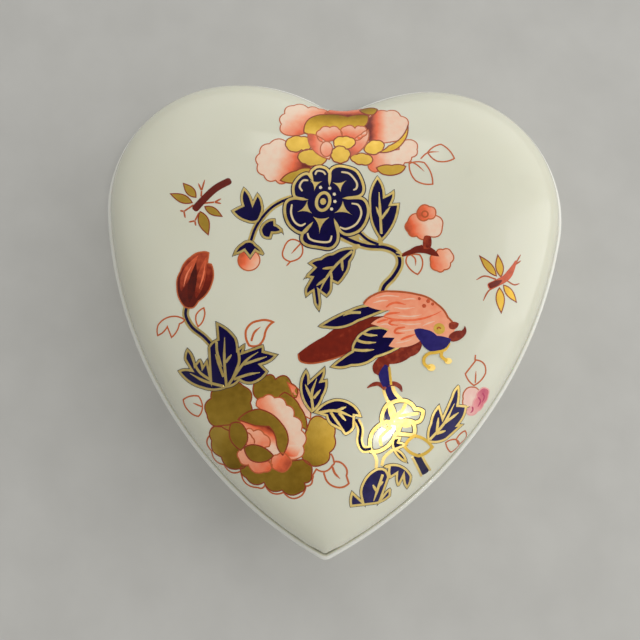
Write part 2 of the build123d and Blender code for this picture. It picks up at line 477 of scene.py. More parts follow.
# ---------------------------------------------------------------------------
# Lid and base
# ---------------------------------------------------------------------------
def make_lid():
    """Rolled edge, shallow groove, swelling dome, hollow and the step over the lip."""
    seat = lid_low.z
    hollow = Swell(HOLLOW_INSET)
    inner = [offset_ring(REBATE_INSET, seat), offset_ring(REBATE_INSET, seat + REBATE_DEPTH),
             offset_ring(HOLLOW_INSET, seat + REBATE_DEPTH)]
    inner += swell_rings(hollow, EDGE_TOP, DOME_RISE - CEILING_THICKNESS, DOME_FULLNESS, LAST_LEVEL,
                         HOLLOW_RINGS)
    rolled = rounded(EDGE_ROUND, seat + EDGE_ROUND, EDGE_ROUND, -90, 0)
    rolled += rounded(EDGE_ROUND, EDGE_TOP - EDGE_ROUND, EDGE_ROUND, 0, 90)
    groove = [offset_ring(DOME_INSET + across, EDGE_TOP - GROOVE_DEPTH * down)
              for across, down, _ in GROOVE]
    dome = swell_rings(dome_field, EDGE_TOP, DOME_RISE, DOME_FULLNESS, LAST_LEVEL, DOME_RINGS)
    start = len(inner) + len(rolled)
    # Painted shade darkens the groove, and a painted highlight lightens the top of the rolled edge
    painted_shade_and_highlight = {start + k: amount for k, (_, _, amount) in enumerate(GROOVE)}
    painted_shade_and_highlight.update({ring: PAINTED_EDGE_HIGHLIGHT for ring in range(start - ROUND_STEPS - 1, start)})
    lid = shell_from_rings("lid_porcelain", inner[::-1] + rolled + groove + dome, hollow.top - CENTRE,
                           dome_field.top - CENTRE, "lid", painted_shade_and_highlight, [len(inner) - 1])
    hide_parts("lid")


def make_base():
    """Foot ring, curved underside, upright side, flat rim, lip and cavity."""
    field = Swell(SIDE_INSET)
    cavity = Swell(CAVITY_INSET)
    foot_inside = FOOT_INSET + FOOT_WIDTH
    top = base_high.z
    foot = [offset_ring(*ring) for ring in (
        (foot_inside + FOOT_SUPPORT, FOOT_HEIGHT), (foot_inside, FOOT_HEIGHT), (foot_inside, SMALL_ROUND),
        (foot_inside - SMALL_ROUND, 0), (FOOT_INSET + SMALL_ROUND, 0), (FOOT_INSET, SMALL_ROUND),
        (FOOT_INSET, FOOT_HEIGHT))]
    bowl = swell_rings(field, SIDE_START, FOOT_HEIGHT - SIDE_START, BOWL_FULLNESS, BOTTOM_LEVEL,
                       BOWL_RINGS)[::-1]
    side = [offset_ring(SIDE_INSET, z)
            for z in np.linspace(SIDE_START, RIM_HEIGHT - SMALL_ROUND, SIDE_RINGS + 1)[1:]]
    rim = [offset_ring(SIDE_INSET + SMALL_ROUND / 3, RIM_HEIGHT - SMALL_ROUND / 3),
           offset_ring(SIDE_INSET + SMALL_ROUND, RIM_HEIGHT), offset_ring(LIP_INSET, RIM_HEIGHT)]
    lip = [offset_ring(LIP_INSET, top - SMALL_ROUND), offset_ring(LIP_INSET + SMALL_ROUND, top),
           offset_ring(CAVITY_INSET - SMALL_ROUND, top), offset_ring(CAVITY_INSET, top - SMALL_ROUND)]
    bottom = swell_rings(cavity, CAVITY_SIDE_START, FLOOR_TOP - CAVITY_SIDE_START, BOWL_FULLNESS,
                         FLOOR_LEVEL, BOWL_RINGS)
    rim_start = len(foot) + len(bowl) + len(side)
    # Painted shade darkens the inner corners at the foot ring and where the rim meets the lip
    painted_shade_and_highlight = dict.fromkeys((1, len(foot) - 1, rim_start + len(rim) - 1), PAINTED_CORNER_SHADE)
    ground = [2, 3, 4, rim_start + 1]
    base = shell_from_rings("base_porcelain", foot + bowl + side + rim + lip + bottom,
                            field.top - CENTRE, cavity.top - CENTRE, "base", painted_shade_and_highlight, ground)
    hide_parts("base")


make_lid()
make_base()


# ---------------------------------------------------------------------------
# Painting: enamels and gilding laid on the dome in thin coats
# ---------------------------------------------------------------------------
# Places on the lid are complex numbers, in millimetres from the box's centre.
FIRST_COAT = 0.035         # top of the lowest layer of paint
COAT_STEP = 0.024          # from one layer to the next
LINE_RISE = 0.008          # edges of a painted line above the patch that it borders
LINE_CROWN = 0.005         # middle of the line above its edges
SHARPEST_MITRE = 3.4       # most that a sharp turn widens a line
TAPER_LENGTH = 0.45        # share of a line over which its width falls
BLUNTEST = 0.02            # least square of the width at a line's rounded tips
BURIED = -0.03             # edges of the paint go this far into the porcelain
LOWEST_LEVEL = 0.018       # paint stops this far up the side of the dome
LINE_STEP = 0.3            # between samples along a line
EDGE_STEP = 0.5            # between samples round a patch
GRID_STEP = 1.0            # between samples inside a patch
ROW_SPACING = 0.87         # of the grid step, for nearly even triangles
EDGE_GAP = 0.45            # of the grid step, kept free inside a patch's edge
MERGE_DISTANCE = 1e-5
SHARP_TURN = 0.6           # radians, for corners of a polyline that are kept
STRETCH = np.linspace(0, 1, 9)[:-1]      # samples from one drawn place to the next
OVAL_STEPS = 32
BLADE_STEPS = 12
BLADE_BELLY = 0.85         # under 1, the widest place is nearer the base
KEPT_CLEAR = 0.98          # share of its inset that an inset outline keeps from the edge
SLOPE_STEPS = 4            # tries at moving a place back onto the dome
LEVEL_MARGIN = 1e-6        # keeps levels off the ends, where the slope has no number

EDGE_ON_GOLD = 0.9         # tones of the red line round a petal
EDGE_ON_PAINT = 0.35
GOLDEN_WIDTH = 0.52
GOLDEN_TONE = 0.95
VEIN_WIDTH = 1.15 * GOLDEN_WIDTH
VEIN_ENDS = (1, 0.2)
LEAF_FRINGE = 0.74         # cobalt under the gold edge of a leaf
STEM_CORE = 0.4            # share of a stem's width
DRAWN_TONE = 0.3


def held_on_dome(places):
    """Moves places that fall off the dome's side back onto it."""
    for _ in range(SLOPE_STEPS):
        slope = dome_field.slope(places)
        lack = np.maximum(LOWEST_LEVEL - dome_field.level(places), 0)
        places = places + lack * slope / np.abs(slope) ** 2
    return places


def dome_at(places):
    """Heights of the dome over places in the outline's own frame, and its slopes as vectors."""
    level = np.clip(dome_field.level(places), LEVEL_MARGIN, 1 - LEVEL_MARGIN)
    share = share_of_rise(level, DOME_FULLNESS)
    steepness = DOME_RISE * ((1 - level) / share) ** (DOME_FULLNESS - 1)
    return EDGE_TOP + DOME_RISE * share, steepness * dome_field.slope(places)


def on_dome(places, heights):
    """Points at given heights above the dome, measured along its normal."""
    places = held_on_dome(places + CENTRE)
    height, slope = dome_at(places)
    normal = np.stack([-slope.real, -slope.imag, np.ones(len(slope))], axis=1)
    normal /= np.linalg.norm(normal, axis=1)[:, None]
    places = places - CENTRE
    return np.stack([places.real, places.imag, height], axis=1) + np.asarray(heights)[:, None] * normal


def spaced(points, step, closed):
    """A polyline sampled again at about even steps, with its sharp corners kept."""
    points = np.asarray(points, complex)
    if closed:
        points = np.append(points, points[0])
    turns = np.angle(np.diff(points)[1:] / np.diff(points)[:-1])
    sharp = np.flatnonzero(np.abs(turns) > SHARP_TURN) + 1
    corners = [0, *sharp, len(points) - 1]
    travel = np.append(0, np.cumsum(np.abs(np.diff(points))))
    samples = []
    for a, b in zip(corners[:-1], corners[1:]):
        count = max(1, round((travel[b] - travel[a]) / step))
        samples += list(travel[a] + (travel[b] - travel[a]) * np.arange(count) / count)
    if not closed:
        samples.append(travel[-1])
    return np.interp(samples, travel, points.real) + 1j * np.interp(samples, travel, points.imag)


def arcs(*points, bulge=0.1, closed=True):
    """Outline of arcs through places, each (x, y) or (x, y, bulge).

    A bulge is the height over the chord of the arc that follows its place. It is
    outward on a closed outline, and to the left of the way along on an open line.
    """
    places = np.array([complex(*point[:2]) for point in points])
    bulges = [point[2] if len(point) > 2 else bulge for point in points]
    following = np.roll(places, -1)
    area = (places.conj() * following).imag.sum()
    side = -math.copysign(1, area) if closed else 1
    line = []
    for k in range(len(places) if closed else len(places) - 1):
        lean = 4j * side * bulges[k] * STRETCH * (1 - STRETCH)
        line += list(places[k] + (following[k] - places[k]) * (STRETCH + lean))
    if not closed:
        line.append(places[-1])
    return np.array(line)


def curve(*points):
    """Smooth line through places."""
    places = np.array([complex(*point) for point in points])
    before, after = 2 * places[0] - places[1], 2 * places[-1] - places[-2]
    padded = np.concatenate([[before], places, [after]])
    line = []
    for p0, p1, p2, p3 in zip(padded, padded[1:], padded[2:], padded[3:]):
        for t in STRETCH:
            line.append(0.5 * (2 * p1 + (p2 - p0) * t + (2 * p0 - 5 * p1 + 4 * p2 - p3) * t ** 2
                               + (3 * p1 - p0 - 3 * p2 + p3) * t ** 3))
    line.append(places[-1])
    return np.array(line)


def oval(x, y, across, along, turn=0.0):
    angle = np.linspace(0, 2 * math.pi, OVAL_STEPS + 1)[:-1]
    outline = across * np.cos(angle) + 1j * along * np.sin(angle)
    return complex(x, y) + outline * cmath.rect(1, math.radians(turn))


def blade(base, tip, width, bow=0.0):
    """Outline of a plain leaf or wing, bowed to the left of its way by a share of its length."""
    base, tip = complex(*base), complex(*tip)
    t = np.linspace(0, 1, BLADE_STEPS + 1)
    rib = base + (tip - base) * (t + 4j * bow * t * (1 - t))
    half = 0.5 * width * np.sin(math.pi * t ** BLADE_BELLY) * 1j * (tip - base) / abs(tip - base)
    return np.concatenate([rib + half, (rib - half)[-2:0:-1]])


def inset(outline, distance):
    """A closed outline moved inward, without the loops that it would have in narrow tips."""
    outline = spaced(outline, EDGE_STEP / 3, closed=True)
    area = (outline.conj() * np.roll(outline, -1)).imag.sum()
    before, after = outline - np.roll(outline, 1), np.roll(outline, -1) - outline
    ahead = before / np.abs(before) + after / np.abs(after)
    moved = outline + math.copysign(2 * distance, area) * 1j * ahead / np.abs(ahead) ** 2
    away = np.abs(moved[:, None] - outline[None, :]).min(axis=1)
    return moved[away > KEPT_CLEAR * distance]


class Coat:
    """All the paint of one colour in one motif, as one piece."""

    def __init__(self, name, material):
        self.name = name
        self.material = material
        self.places, self.heights, self.tones, self.faces = [], [], [], []

    def add(self, places, heights, tones, faces):
        start = len(self.places)
        self.places += list(places)
        self.heights += list(heights)
        self.tones += list(tones)
        self.faces += [tuple(start + i for i in face) for face in faces]

    def patch(self, outline, layer, tone):
        """A filled outline, with its edges buried in the porcelain.

        Its tone is a number, or a function of places.
        """
        _, slope = dome_at(held_on_dome(spaced(outline, EDGE_STEP, closed=True) + CENTRE))
        step = GRID_STEP / math.hypot(1, np.abs(slope).max())
        edge = spaced(outline, step / 2, closed=True)
        low = complex(edge.real.min(), edge.imag.min())
        high = complex(edge.real.max(), edge.imag.max())
        rows = np.arange(low.imag, high.imag, step * ROW_SPACING)
        inner = [complex(x + (k % 2) * step / 2, y) for k, y in enumerate(rows)
                 for x in np.arange(low.real, high.real, step)]
        inner = [p for p in inner if inside(p, edge) and np.abs(edge - p).min() > step * EDGE_GAP]
        points = [(p.real, p.imag) for p in list(edge) + inner]
        edges = [(k, (k + 1) % len(edge)) for k in range(len(edge))]
        verts, _, faces, _, _, _ = delaunay_2d_cdt(points, edges, [], 1, MERGE_DISTANCE)
        places = np.array([complex(*v) for v in verts])
        faces = [f if turn_of(places[list(f)]) > 0 else f[::-1] for f in (tuple(f) for f in faces)]
        tones = tone(places) if callable(tone) else np.full(len(places), tone, float)
        directed = {(f[k], f[(k + 1) % 3]) for f in faces for k in range(3)}
        rim = [(a, b) for a, b in sorted(directed) if (b, a) not in directed]
        below = {a: len(places) + k for k, a in enumerate(sorted({a for pair in rim for a in pair}))}
        rim_places = sorted(below)
        count = len(rim_places)
        walls = [(below[b], below[a], below[a] + count, below[b] + count) for a, b in rim]
        height = FIRST_COAT + layer * COAT_STEP
        self.add(list(places) + 2 * list(places[rim_places]),
                 [height] * (len(places) + count) + [BURIED] * count,
                 list(tones) + 2 * list(tones[rim_places]), faces + walls)

    def line(self, path, width, layer, closed, ends, tone):
        """A raised line. Its width falls to a share of the whole at each end."""
        path = spaced(path, min(LINE_STEP, width / 4), closed)
        count = len(path)
        before, after = path - np.roll(path, 1), np.roll(path, -1) - path
        if not closed:
            before[0], after[-1] = after[0], before[-1]
        before, after = before / np.abs(before), after / np.abs(after)
        ahead = before + after
        mitre = np.minimum(2 / np.abs(ahead), SHARPEST_MITRE)
        across = 1j * ahead / np.abs(ahead)
        widths = mitre.copy()
        if not closed:
            travel = np.append(0, np.cumsum(np.abs(np.diff(path))))
            left = travel[-1] - travel
            reach = TAPER_LENGTH * travel[-1]
            taper = np.minimum(1, np.minimum(ends[0] + travel / reach, ends[1] + left / reach))
            nearest = np.minimum(np.minimum(travel, left) / (0.5 * width * taper), 1)
            widths *= taper * np.sqrt(np.maximum(1 - (1 - nearest) ** 2, BLUNTEST))
        height = FIRST_COAT + (layer - 1) * COAT_STEP + LINE_RISE
        section = ((-0.5, BURIED), (-0.5, height), (-0.5, height), (0, height + LINE_CROWN),
                   (0.5, height), (0.5, height), (0.5, BURIED))
        places, heights, faces = [], [], []
        for k in range(count):
            for side, rise in section:
                places.append(path[k] - side * width * widths[k] * across[k])
                heights.append(rise if closed or 0 < k < count - 1 else BURIED)
        size = len(section)
        # No faces join the doubled points, so the walls and the top are shaded apart
        for k in range(count if closed else count - 1):
            n = (k + 1) % count
            for j in (0, 2, 3, 5):
                faces.append((k * size + j, k * size + j + 1, n * size + j + 1, n * size + j))
        self.add(places, heights, [tone] * len(places), faces)

    def build(self):
        verts = on_dome(np.array(self.places), np.array(self.heights))
        piece = mesh_object(self.name, verts, self.faces, self.material, "lid")
        tone = piece.data.attributes.new("tone", "FLOAT", "POINT")
        tone.data.foreach_set("value", np.clip(self.tones, 0, 1).astype(np.float32))


def turn_of(triangle):
    a, b, c = triangle
    return ((b - a).conjugate() * (c - a)).imag


def inside(place, outline):
    """Whether a place is inside a closed outline."""
    a, b = outline, np.roll(outline, -1)
    crosses = (a.imag > place.imag) != (b.imag > place.imag)
    rise = np.where(crosses, b.imag - a.imag, 1)
    where = a.real + (place.imag - a.imag) / rise * (b.real - a.real)
    return bool(np.count_nonzero(crosses & (where > place.real)) % 2)


def shaded(start, end, low=0.0, high=1.0):
    """Tone that changes from low at one place to high at another."""
    start, end = complex(*start), complex(*end)
    way = end - start

    def tone(places):
        share = ((places - start) * way.conjugate()).real / abs(way) ** 2
        return low + (high - low) * np.clip(share, 0, 1)
    return tone


class Motif:
    """One painted motif. Each enamel, and the gilding, is a piece of its own."""

    def __init__(self, name):
        self.name = name
        self.coats = {}

    def coat(self, material):
        if material.name not in self.coats:
            self.coats[material.name] = Coat(f"{self.name}_{material.name}", material)
        return self.coats[material.name]

    def fill(self, material, outline, layer=0, tone=0.5):
        self.coat(material).patch(outline, layer, tone)

    def line(self, material, path, width=0.4, layer=1, closed=False, ends=(1.0, 1.0), tone=0.5):
        self.coat(material).line(path, width, layer, closed, ends, tone)

    def petal(self, material, outline, layer=0, tone=0.5, edge=None, width=0.28):
        """A filled shape with an outline in another colour."""
        darkness = EDGE_ON_GOLD if material == gilding else EDGE_ON_PAINT
        self.fill(material, outline, layer, tone)
        self.line(edge or line_red, outline, width, layer + 1, closed=True, tone=darkness)

    def gilded_leaf(self, outline, veins=(), layer=0, tone=0.5):
        """Cobalt leaf with a gold edge inside a thin blue fringe, and gold veins."""
        outline = inset(outline, LEAF_FRINGE / 2)
        self.fill(cobalt, outline, layer, tone)
        self.line(cobalt, outline, LEAF_FRINGE, layer, closed=True)
        self.line(gilding, outline, GOLDEN_WIDTH, layer + 1, closed=True, tone=GOLDEN_TONE)
        for vein in veins:
            self.line(gilding, curve(*vein), VEIN_WIDTH, layer + 1, ends=VEIN_ENDS, tone=GOLDEN_TONE)

    def gilded_stem(self, places, width=1.5, layer=0):
        """Gold stem with a cobalt core."""
        path = curve(*places)
        self.line(gilding, path, width, layer, tone=GOLDEN_TONE)
        self.line(cobalt, path, width * STEM_CORE, layer + 1)

    def drawn_leaf(self, outline, veins=(), width=0.35):
        """Leaf drawn only in thin red lines."""
        self.line(line_red, outline, width, 0, closed=True, tone=DRAWN_TONE)
        for vein in veins:
            self.line(line_red, curve(*vein), width, 0, ends=VEIN_ENDS, tone=DRAWN_TONE)

    def build(self):
        for coat in self.coats.values():
            coat.build()


# ---------------------------------------------------------------------------
# The motifs, drawn in millimetres from the box's centre
# ---------------------------------------------------------------------------
def scallops(*points, bulge=0.26):
    """Outline of a petal with a frilled edge."""
    return arcs(*points, bulge=bulge)


def paint_top_flower():
    """Wide-open pale flower below the cleft, with gilded inner petals."""
    art = Motif("top_flower")
    art.petal(coral, scallops(
        (-2.6, 46), (-2.2, 48), (0, 48.9), (2.4, 48.7), (4.8, 49.1), (6.8, 48.2), (7.4, 46, 0)),
        tone=shaded((1, 49.2), (1, 46.2), 0.3, 0.8))
    art.petal(gilding, arcs((5.4, 48.6), (7.6, 49.4), (9.6, 48.6), (8.6, 46.8), (6.6, 47.2)), 1, 0.3)
    art.petal(coral, scallops(
        (-2, 47.2), (-4.5, 48.6), (-7, 48.4), (-10.4, 48.7), (-12.4, 46), (-13, 43), (-11.8, 40.2, 0.1),
        (-7, 41, 0)), tone=shaded((-11, 45.5), (-7, 41), 0, 0.62))
    art.petal(coral, scallops(
        (-11.3, 38.2), (-15.5, 37.8), (-17.6, 35.3), (-17.9, 32.6), (-16.4, 30), (-13.6, 28.9),
        (-11, 28.6, 0), (-5.5, 32.2, 0.1)), tone=shaded((-13.5, 34), (-7, 32), 0.02, 0.85))
    art.petal(coral, scallops(
        (8, 46.2), (11.8, 47.9), (15, 46.4), (16.7, 43.6, 0.1), (14.4, 39.6, 0), (9.5, 38.6), (7, 41.5)),
        tone=shaded((7.8, 43), (11.8, 43), 0.8, 0.06))
    art.petal(coral, scallops(
        (10, 36.6, 0), (14.6, 37.4), (17.4, 40), (18.8, 37.6), (17.6, 35.6), (16, 34.2), (13.5, 33.2, 0),
        (9.2, 31.6), (7.6, 34)), tone=shaded((8.5, 34), (12.5, 35.5), 0.45, 0.03))
    art.petal(gilding, arcs((-12.5, 28.9), (-9, 31.3), (-5.6, 32), (-8.2, 28.6)), 1)
    art.petal(gilding, arcs((9.5, 32.7), (13, 33.4), (16.2, 33.3), (14.9, 31.6), (11, 31.2)), 1)
    art.petal(gilding, arcs((10, 36.5), (14.4, 37.8, 0.12), (16.7, 43.8, -0.12), (12.2, 38.2, -0.05)), 1)
    art.petal(gilding, arcs(
        (-7.6, 41), (-6.6, 44.8), (-2.5, 46.6), (2.5, 46.1), (7.3, 46.6), (7, 43.8), (0.5, 40)), 1,
        tone=shaded((0, 46), (0, 41.5), 0.05, 0.6))
    for petal in (
            ((-11.7, 38.2), (-10.6, 39.5), (-8.2, 39.8), (-6.1, 39.2, 0.1), (-5.9, 37), (-8, 36.5),
             (-9.9, 36), (-11.4, 37)),
            ((-8.7, 35), (-7.6, 36.2), (-5.9, 36.6), (-4, 36, 0.1), (-2.1, 34.8), (-2.6, 33.5),
             (-4.6, 32.8), (-7, 33.1), (-8.4, 34)),
            ((6.5, 37.1, 0.1), (7.7, 39), (9.3, 39.5), (11, 38.9), (11, 37.7), (9.9, 36.4), (8.1, 36)),
            ((3.4, 35), (4.9, 35.8), (7, 35.9), (8.5, 35), (8.2, 33.8), (6.1, 33.4), (4.4, 33.9))):
        art.petal(gilding, arcs(*petal, bulge=0.16), 1, 0.68)
    art.petal(coral, arcs((-6.6, 40.6), (-5.6, 37), (-1.4, 34.4), (-1.6, 37.5), (-4.2, 40)), 2,
        shaded((-5.5, 38), (-2.5, 38.5), 0.6, 0.1))
    art.petal(coral, arcs((7.4, 42.2), (7, 38.6), (3.1, 35.2), (3.2, 37.6), (5.8, 41)), 2,
        shaded((3.5, 36), (7, 41.5), 0.62, 0.1))
    art.petal(coral, scallops(
        (-4.5, 40), (-3.9, 41.8), (-1.6, 42.6), (0.6, 42.2), (0.8, 39.6, 0), (-2, 38.8)), 2,
        shaded((-1.6, 39), (-2.4, 42), 0.55, 0.15))
    art.petal(coral, scallops(
        (1.1, 41.2), (2, 43), (4.3, 42.6), (5.6, 43.2), (7, 42.2), (6.2, 40.4), (3.4, 39.8)), 2,
        shaded((3.4, 39.8), (3.8, 42.8), 0.55, 0.18))
    art.petal(coral, oval(-2.2, 36.9, 1.4, 1.9), 3, shaded((-3, 38), (-1.5, 35), 0.15, 0.45))
    art.petal(gilding, arcs(
        (-0.5, 38.4), (-0.1, 39.7), (1.5, 40.1), (3.2, 40), (4.4, 39.2), (4, 37.9), (1.8, 37.2), (0, 37.4),
        bulge=0.18), 3, 0.72)
    art.petal(gilding, arcs(
        (-0.9, 36), (-0.2, 37.2), (1.2, 37.7), (2.3, 37), (3.2, 36.4), (3.1, 35), (2, 33.8), (0.4, 33.7),
        (-0.8, 34.6), bulge=0.18), 4, 0.68)
    art.drawn_leaf(arcs((21.3, 37), (24.4, 39.2), (27.5, 35.8), (23.5, 34.9)),
        [((19.6, 35.3), (21.3, 36.9), (24, 37.3))])
    art.drawn_leaf(arcs((17, 34), (20.5, 34.4), (22.5, 29.3), (18.5, 30)),
        [((16.2, 34.8), (18.5, 34), (20.6, 32.2))])
    art.build()


BLOSSOM_PETALS = (
    ((-1.2, 28.9), (-1.2, 30.9), (-2.3, 32.2), (-4.1, 32.4), (-5.5, 31.2), (-5.3, 29.6)),
    ((-5.3, 29.6), (-6.4, 30.7), (-8, 30), (-9.3, 28.1), (-9.4, 26.2), (-8.8, 25), (-6.9, 24.6)),
    ((-6.9, 24.6), (-9.4, 24.7), (-11, 23.6), (-11.1, 21), (-10.1, 18.6), (-8.2, 17), (-6.6, 16.8),
     (-5.2, 18.6)),
    ((-5.2, 18.6), (-6.8, 16.7), (-7, 15), (-5.7, 13.9), (-3.2, 13.5), (-0.6, 13.3), (0.9, 14.6),
     (1.2, 16.6), (0.5, 19.4)),
    ((0.5, 19.4), (1.9, 17.2), (3.8, 16.7), (6.2, 17.9), (7.6, 20.4), (7.8, 23.2), (6.4, 25.2),
     (2.9, 25.2)),
    ((2.9, 25.2), (5.8, 25.8), (6.7, 27.4), (6, 30), (4.5, 32), (1.3, 32.8), (-0.5, 32.3), (-1.2, 31),
     (-1.2, 28.9)))
BLOSSOM_CURLS = (
    ((-4.6, 30.4), (-4.1, 31.4), (-2.8, 31.3), (-2.1, 30.5)),
    ((-7.3, 26.4), (-8, 27.6), (-7.3, 29), (-6, 29.1)),
    ((-9.6, 23.4), (-9.7, 21.2), (-8.8, 19.2), (-7.4, 18.4), (-6.2, 19)),
    ((-5.8, 16.8), (-5.2, 15.4), (-3.2, 14.8), (-0.8, 14.9), (-0.2, 16.4)),
    ((1.4, 18.4), (3, 18), (5.2, 19.2), (6.3, 21.6), (5.6, 23.6), (3.9, 24)),
    ((1.3, 31.4), (3.3, 31), (5, 29), (5, 27.6), (4.2, 27.1)))
BLOSSOM_RAYS = (
    ((-5.7, 29.2), (-2.9, 29), (-4.6, 26.6)), ((-0.5, 28.8), (2.7, 29.4), (1.4, 26.6)),
    ((-6.1, 24.3), (-8.4, 21.5), (-4.9, 21.3)), ((-4.7, 20.6), (-0.9, 20.6), (-3.1, 16.4)),
    ((2, 24.5), (0.2, 21.6), (4.4, 21.2)))
BLOSSOM_EYE = (-2.5, 24.2)


def paint_blossom():
    """Cobalt flower with gilded rims, and the branch with its two long leaves."""
    art = Motif("cobalt_blossom")
    rim = np.concatenate([curve(*petal)[:-1] for petal in BLOSSOM_PETALS])
    art.gilded_stem(((5.8, 17.4), (8, 15.6), (10.6, 14.6)), 1.5)
    art.gilded_stem((
        (1.2, 16.8), (4.5, 15.2), (8, 14.2), (12, 14), (14.7, 12.7), (15.3, 10.2), (13.9, 7.4), (12, 5.2),
        (11.4, 3)), 1.9)
    art.fill(gilding, arcs((1, 18.6), (3.5, 17.3), (5.5, 17.6), (6.5, 14.2), (3, 14.8), (1, 15.6), bulge=0),
        0, GOLDEN_TONE)
    for tick in (((14.4, 13), (15.6, 12.6)), ((14.6, 12.2), (15.9, 12))):
        art.line(gilding, curve(*tick), 0.3, 3, tone=GOLDEN_TONE)
    for stalk in (((11, 14.2), (10.8, 16), (10.9, 18.4)), ((6.4, 14.5), (4.9, 13.6), (3.4, 12))):
        art.line(gilding, curve(*stalk), 1.1, 1, ends=(1, 0.5), tone=GOLDEN_TONE)
    art.gilded_leaf(arcs(
        (11.1, 15.2), (7.9, 23.5), (9.7, 30.9), (11.7, 26.3, -0.05), (13.7, 27.8), (13.4, 24.4, 0),
        (15.1, 24.6)),
        [((11, 17), (10.6, 22), (10.2, 27)), ((10.9, 20.5), (9.6, 23.5)), ((10.8, 20.5), (12.9, 23.6))], 1)
    art.gilded_leaf(arcs(
        (5.3, 13.8), (0, 12.4), (-2.6, 11.2), (-5.6, 9.6, -0.05), (-4.2, 8.8, 0), (-6.6, 6.2, -0.05),
        (-4.8, 6.3, 0), (-5.9, 4.2), (-5.5, 1.7, -0.05), (-4.2, 3, 0), (-3.8, 0.7, 0.05),
        (-2.4, -1.3, 0.05), (-2, 1.2, 0), (-2.3, 3, 0), (-0.9, 2, 0.1), (0.4, 4.1, 0), (0.4, 5.5, 0),
        (1.6, 5, 0.05), (3.3, 7.2, 0.08), (4.3, 10.4)), [
        ((4.6, 13), (1, 9.6), (-1.4, 6), (-2.8, 2.4)), ((0.4, 9), (-2.2, 8.6)), ((-1.2, 6.4), (-3.4, 4.6)),
        ((2.2, 10.9), (2.5, 8.2)), ((-0.2, 7.9), (0.2, 6))], 1)
    art.fill(cobalt, rim, 2)
    art.line(cobalt, rim, 1.1, 2, closed=True)
    art.line(gilding, rim, 0.62, 3, closed=True, tone=GOLDEN_TONE)
    for curl in BLOSSOM_CURLS:
        art.line(cream, curve(*curl), 0.46, 3, ends=(0.7, 0.7), tone=0.6)
    for ray in BLOSSOM_RAYS:
        art.fill(gilding, arcs(*ray, bulge=-0.12), 3, GOLDEN_TONE)
    art.line(gilding, oval(*BLOSSOM_EYE, 1.5, 2.1, -12), 0.7, 3, closed=True, tone=GOLDEN_TONE)
    art.fill(gilding, oval(*BLOSSOM_EYE, 0.7, 0.8), 3, GOLDEN_TONE)
    for x, y in ((-3.2, 27.5), (-1.1, 27.4), (0, 26), (0.2, 24.3), (-0.5, 22.5)):
        art.fill(cream, oval(x, y, 0.42, 0.42), 3, 0)
    art.drawn_leaf(arcs((-7.1, 14.4, 0.35), (-11, 13, 0.3), (-9.4, 10, 0.3)),
        [((-7.2, 14.3), (-9.3, 11.8)), ((-9.4, 10), (-10.3, 8.9))])
    art.build()


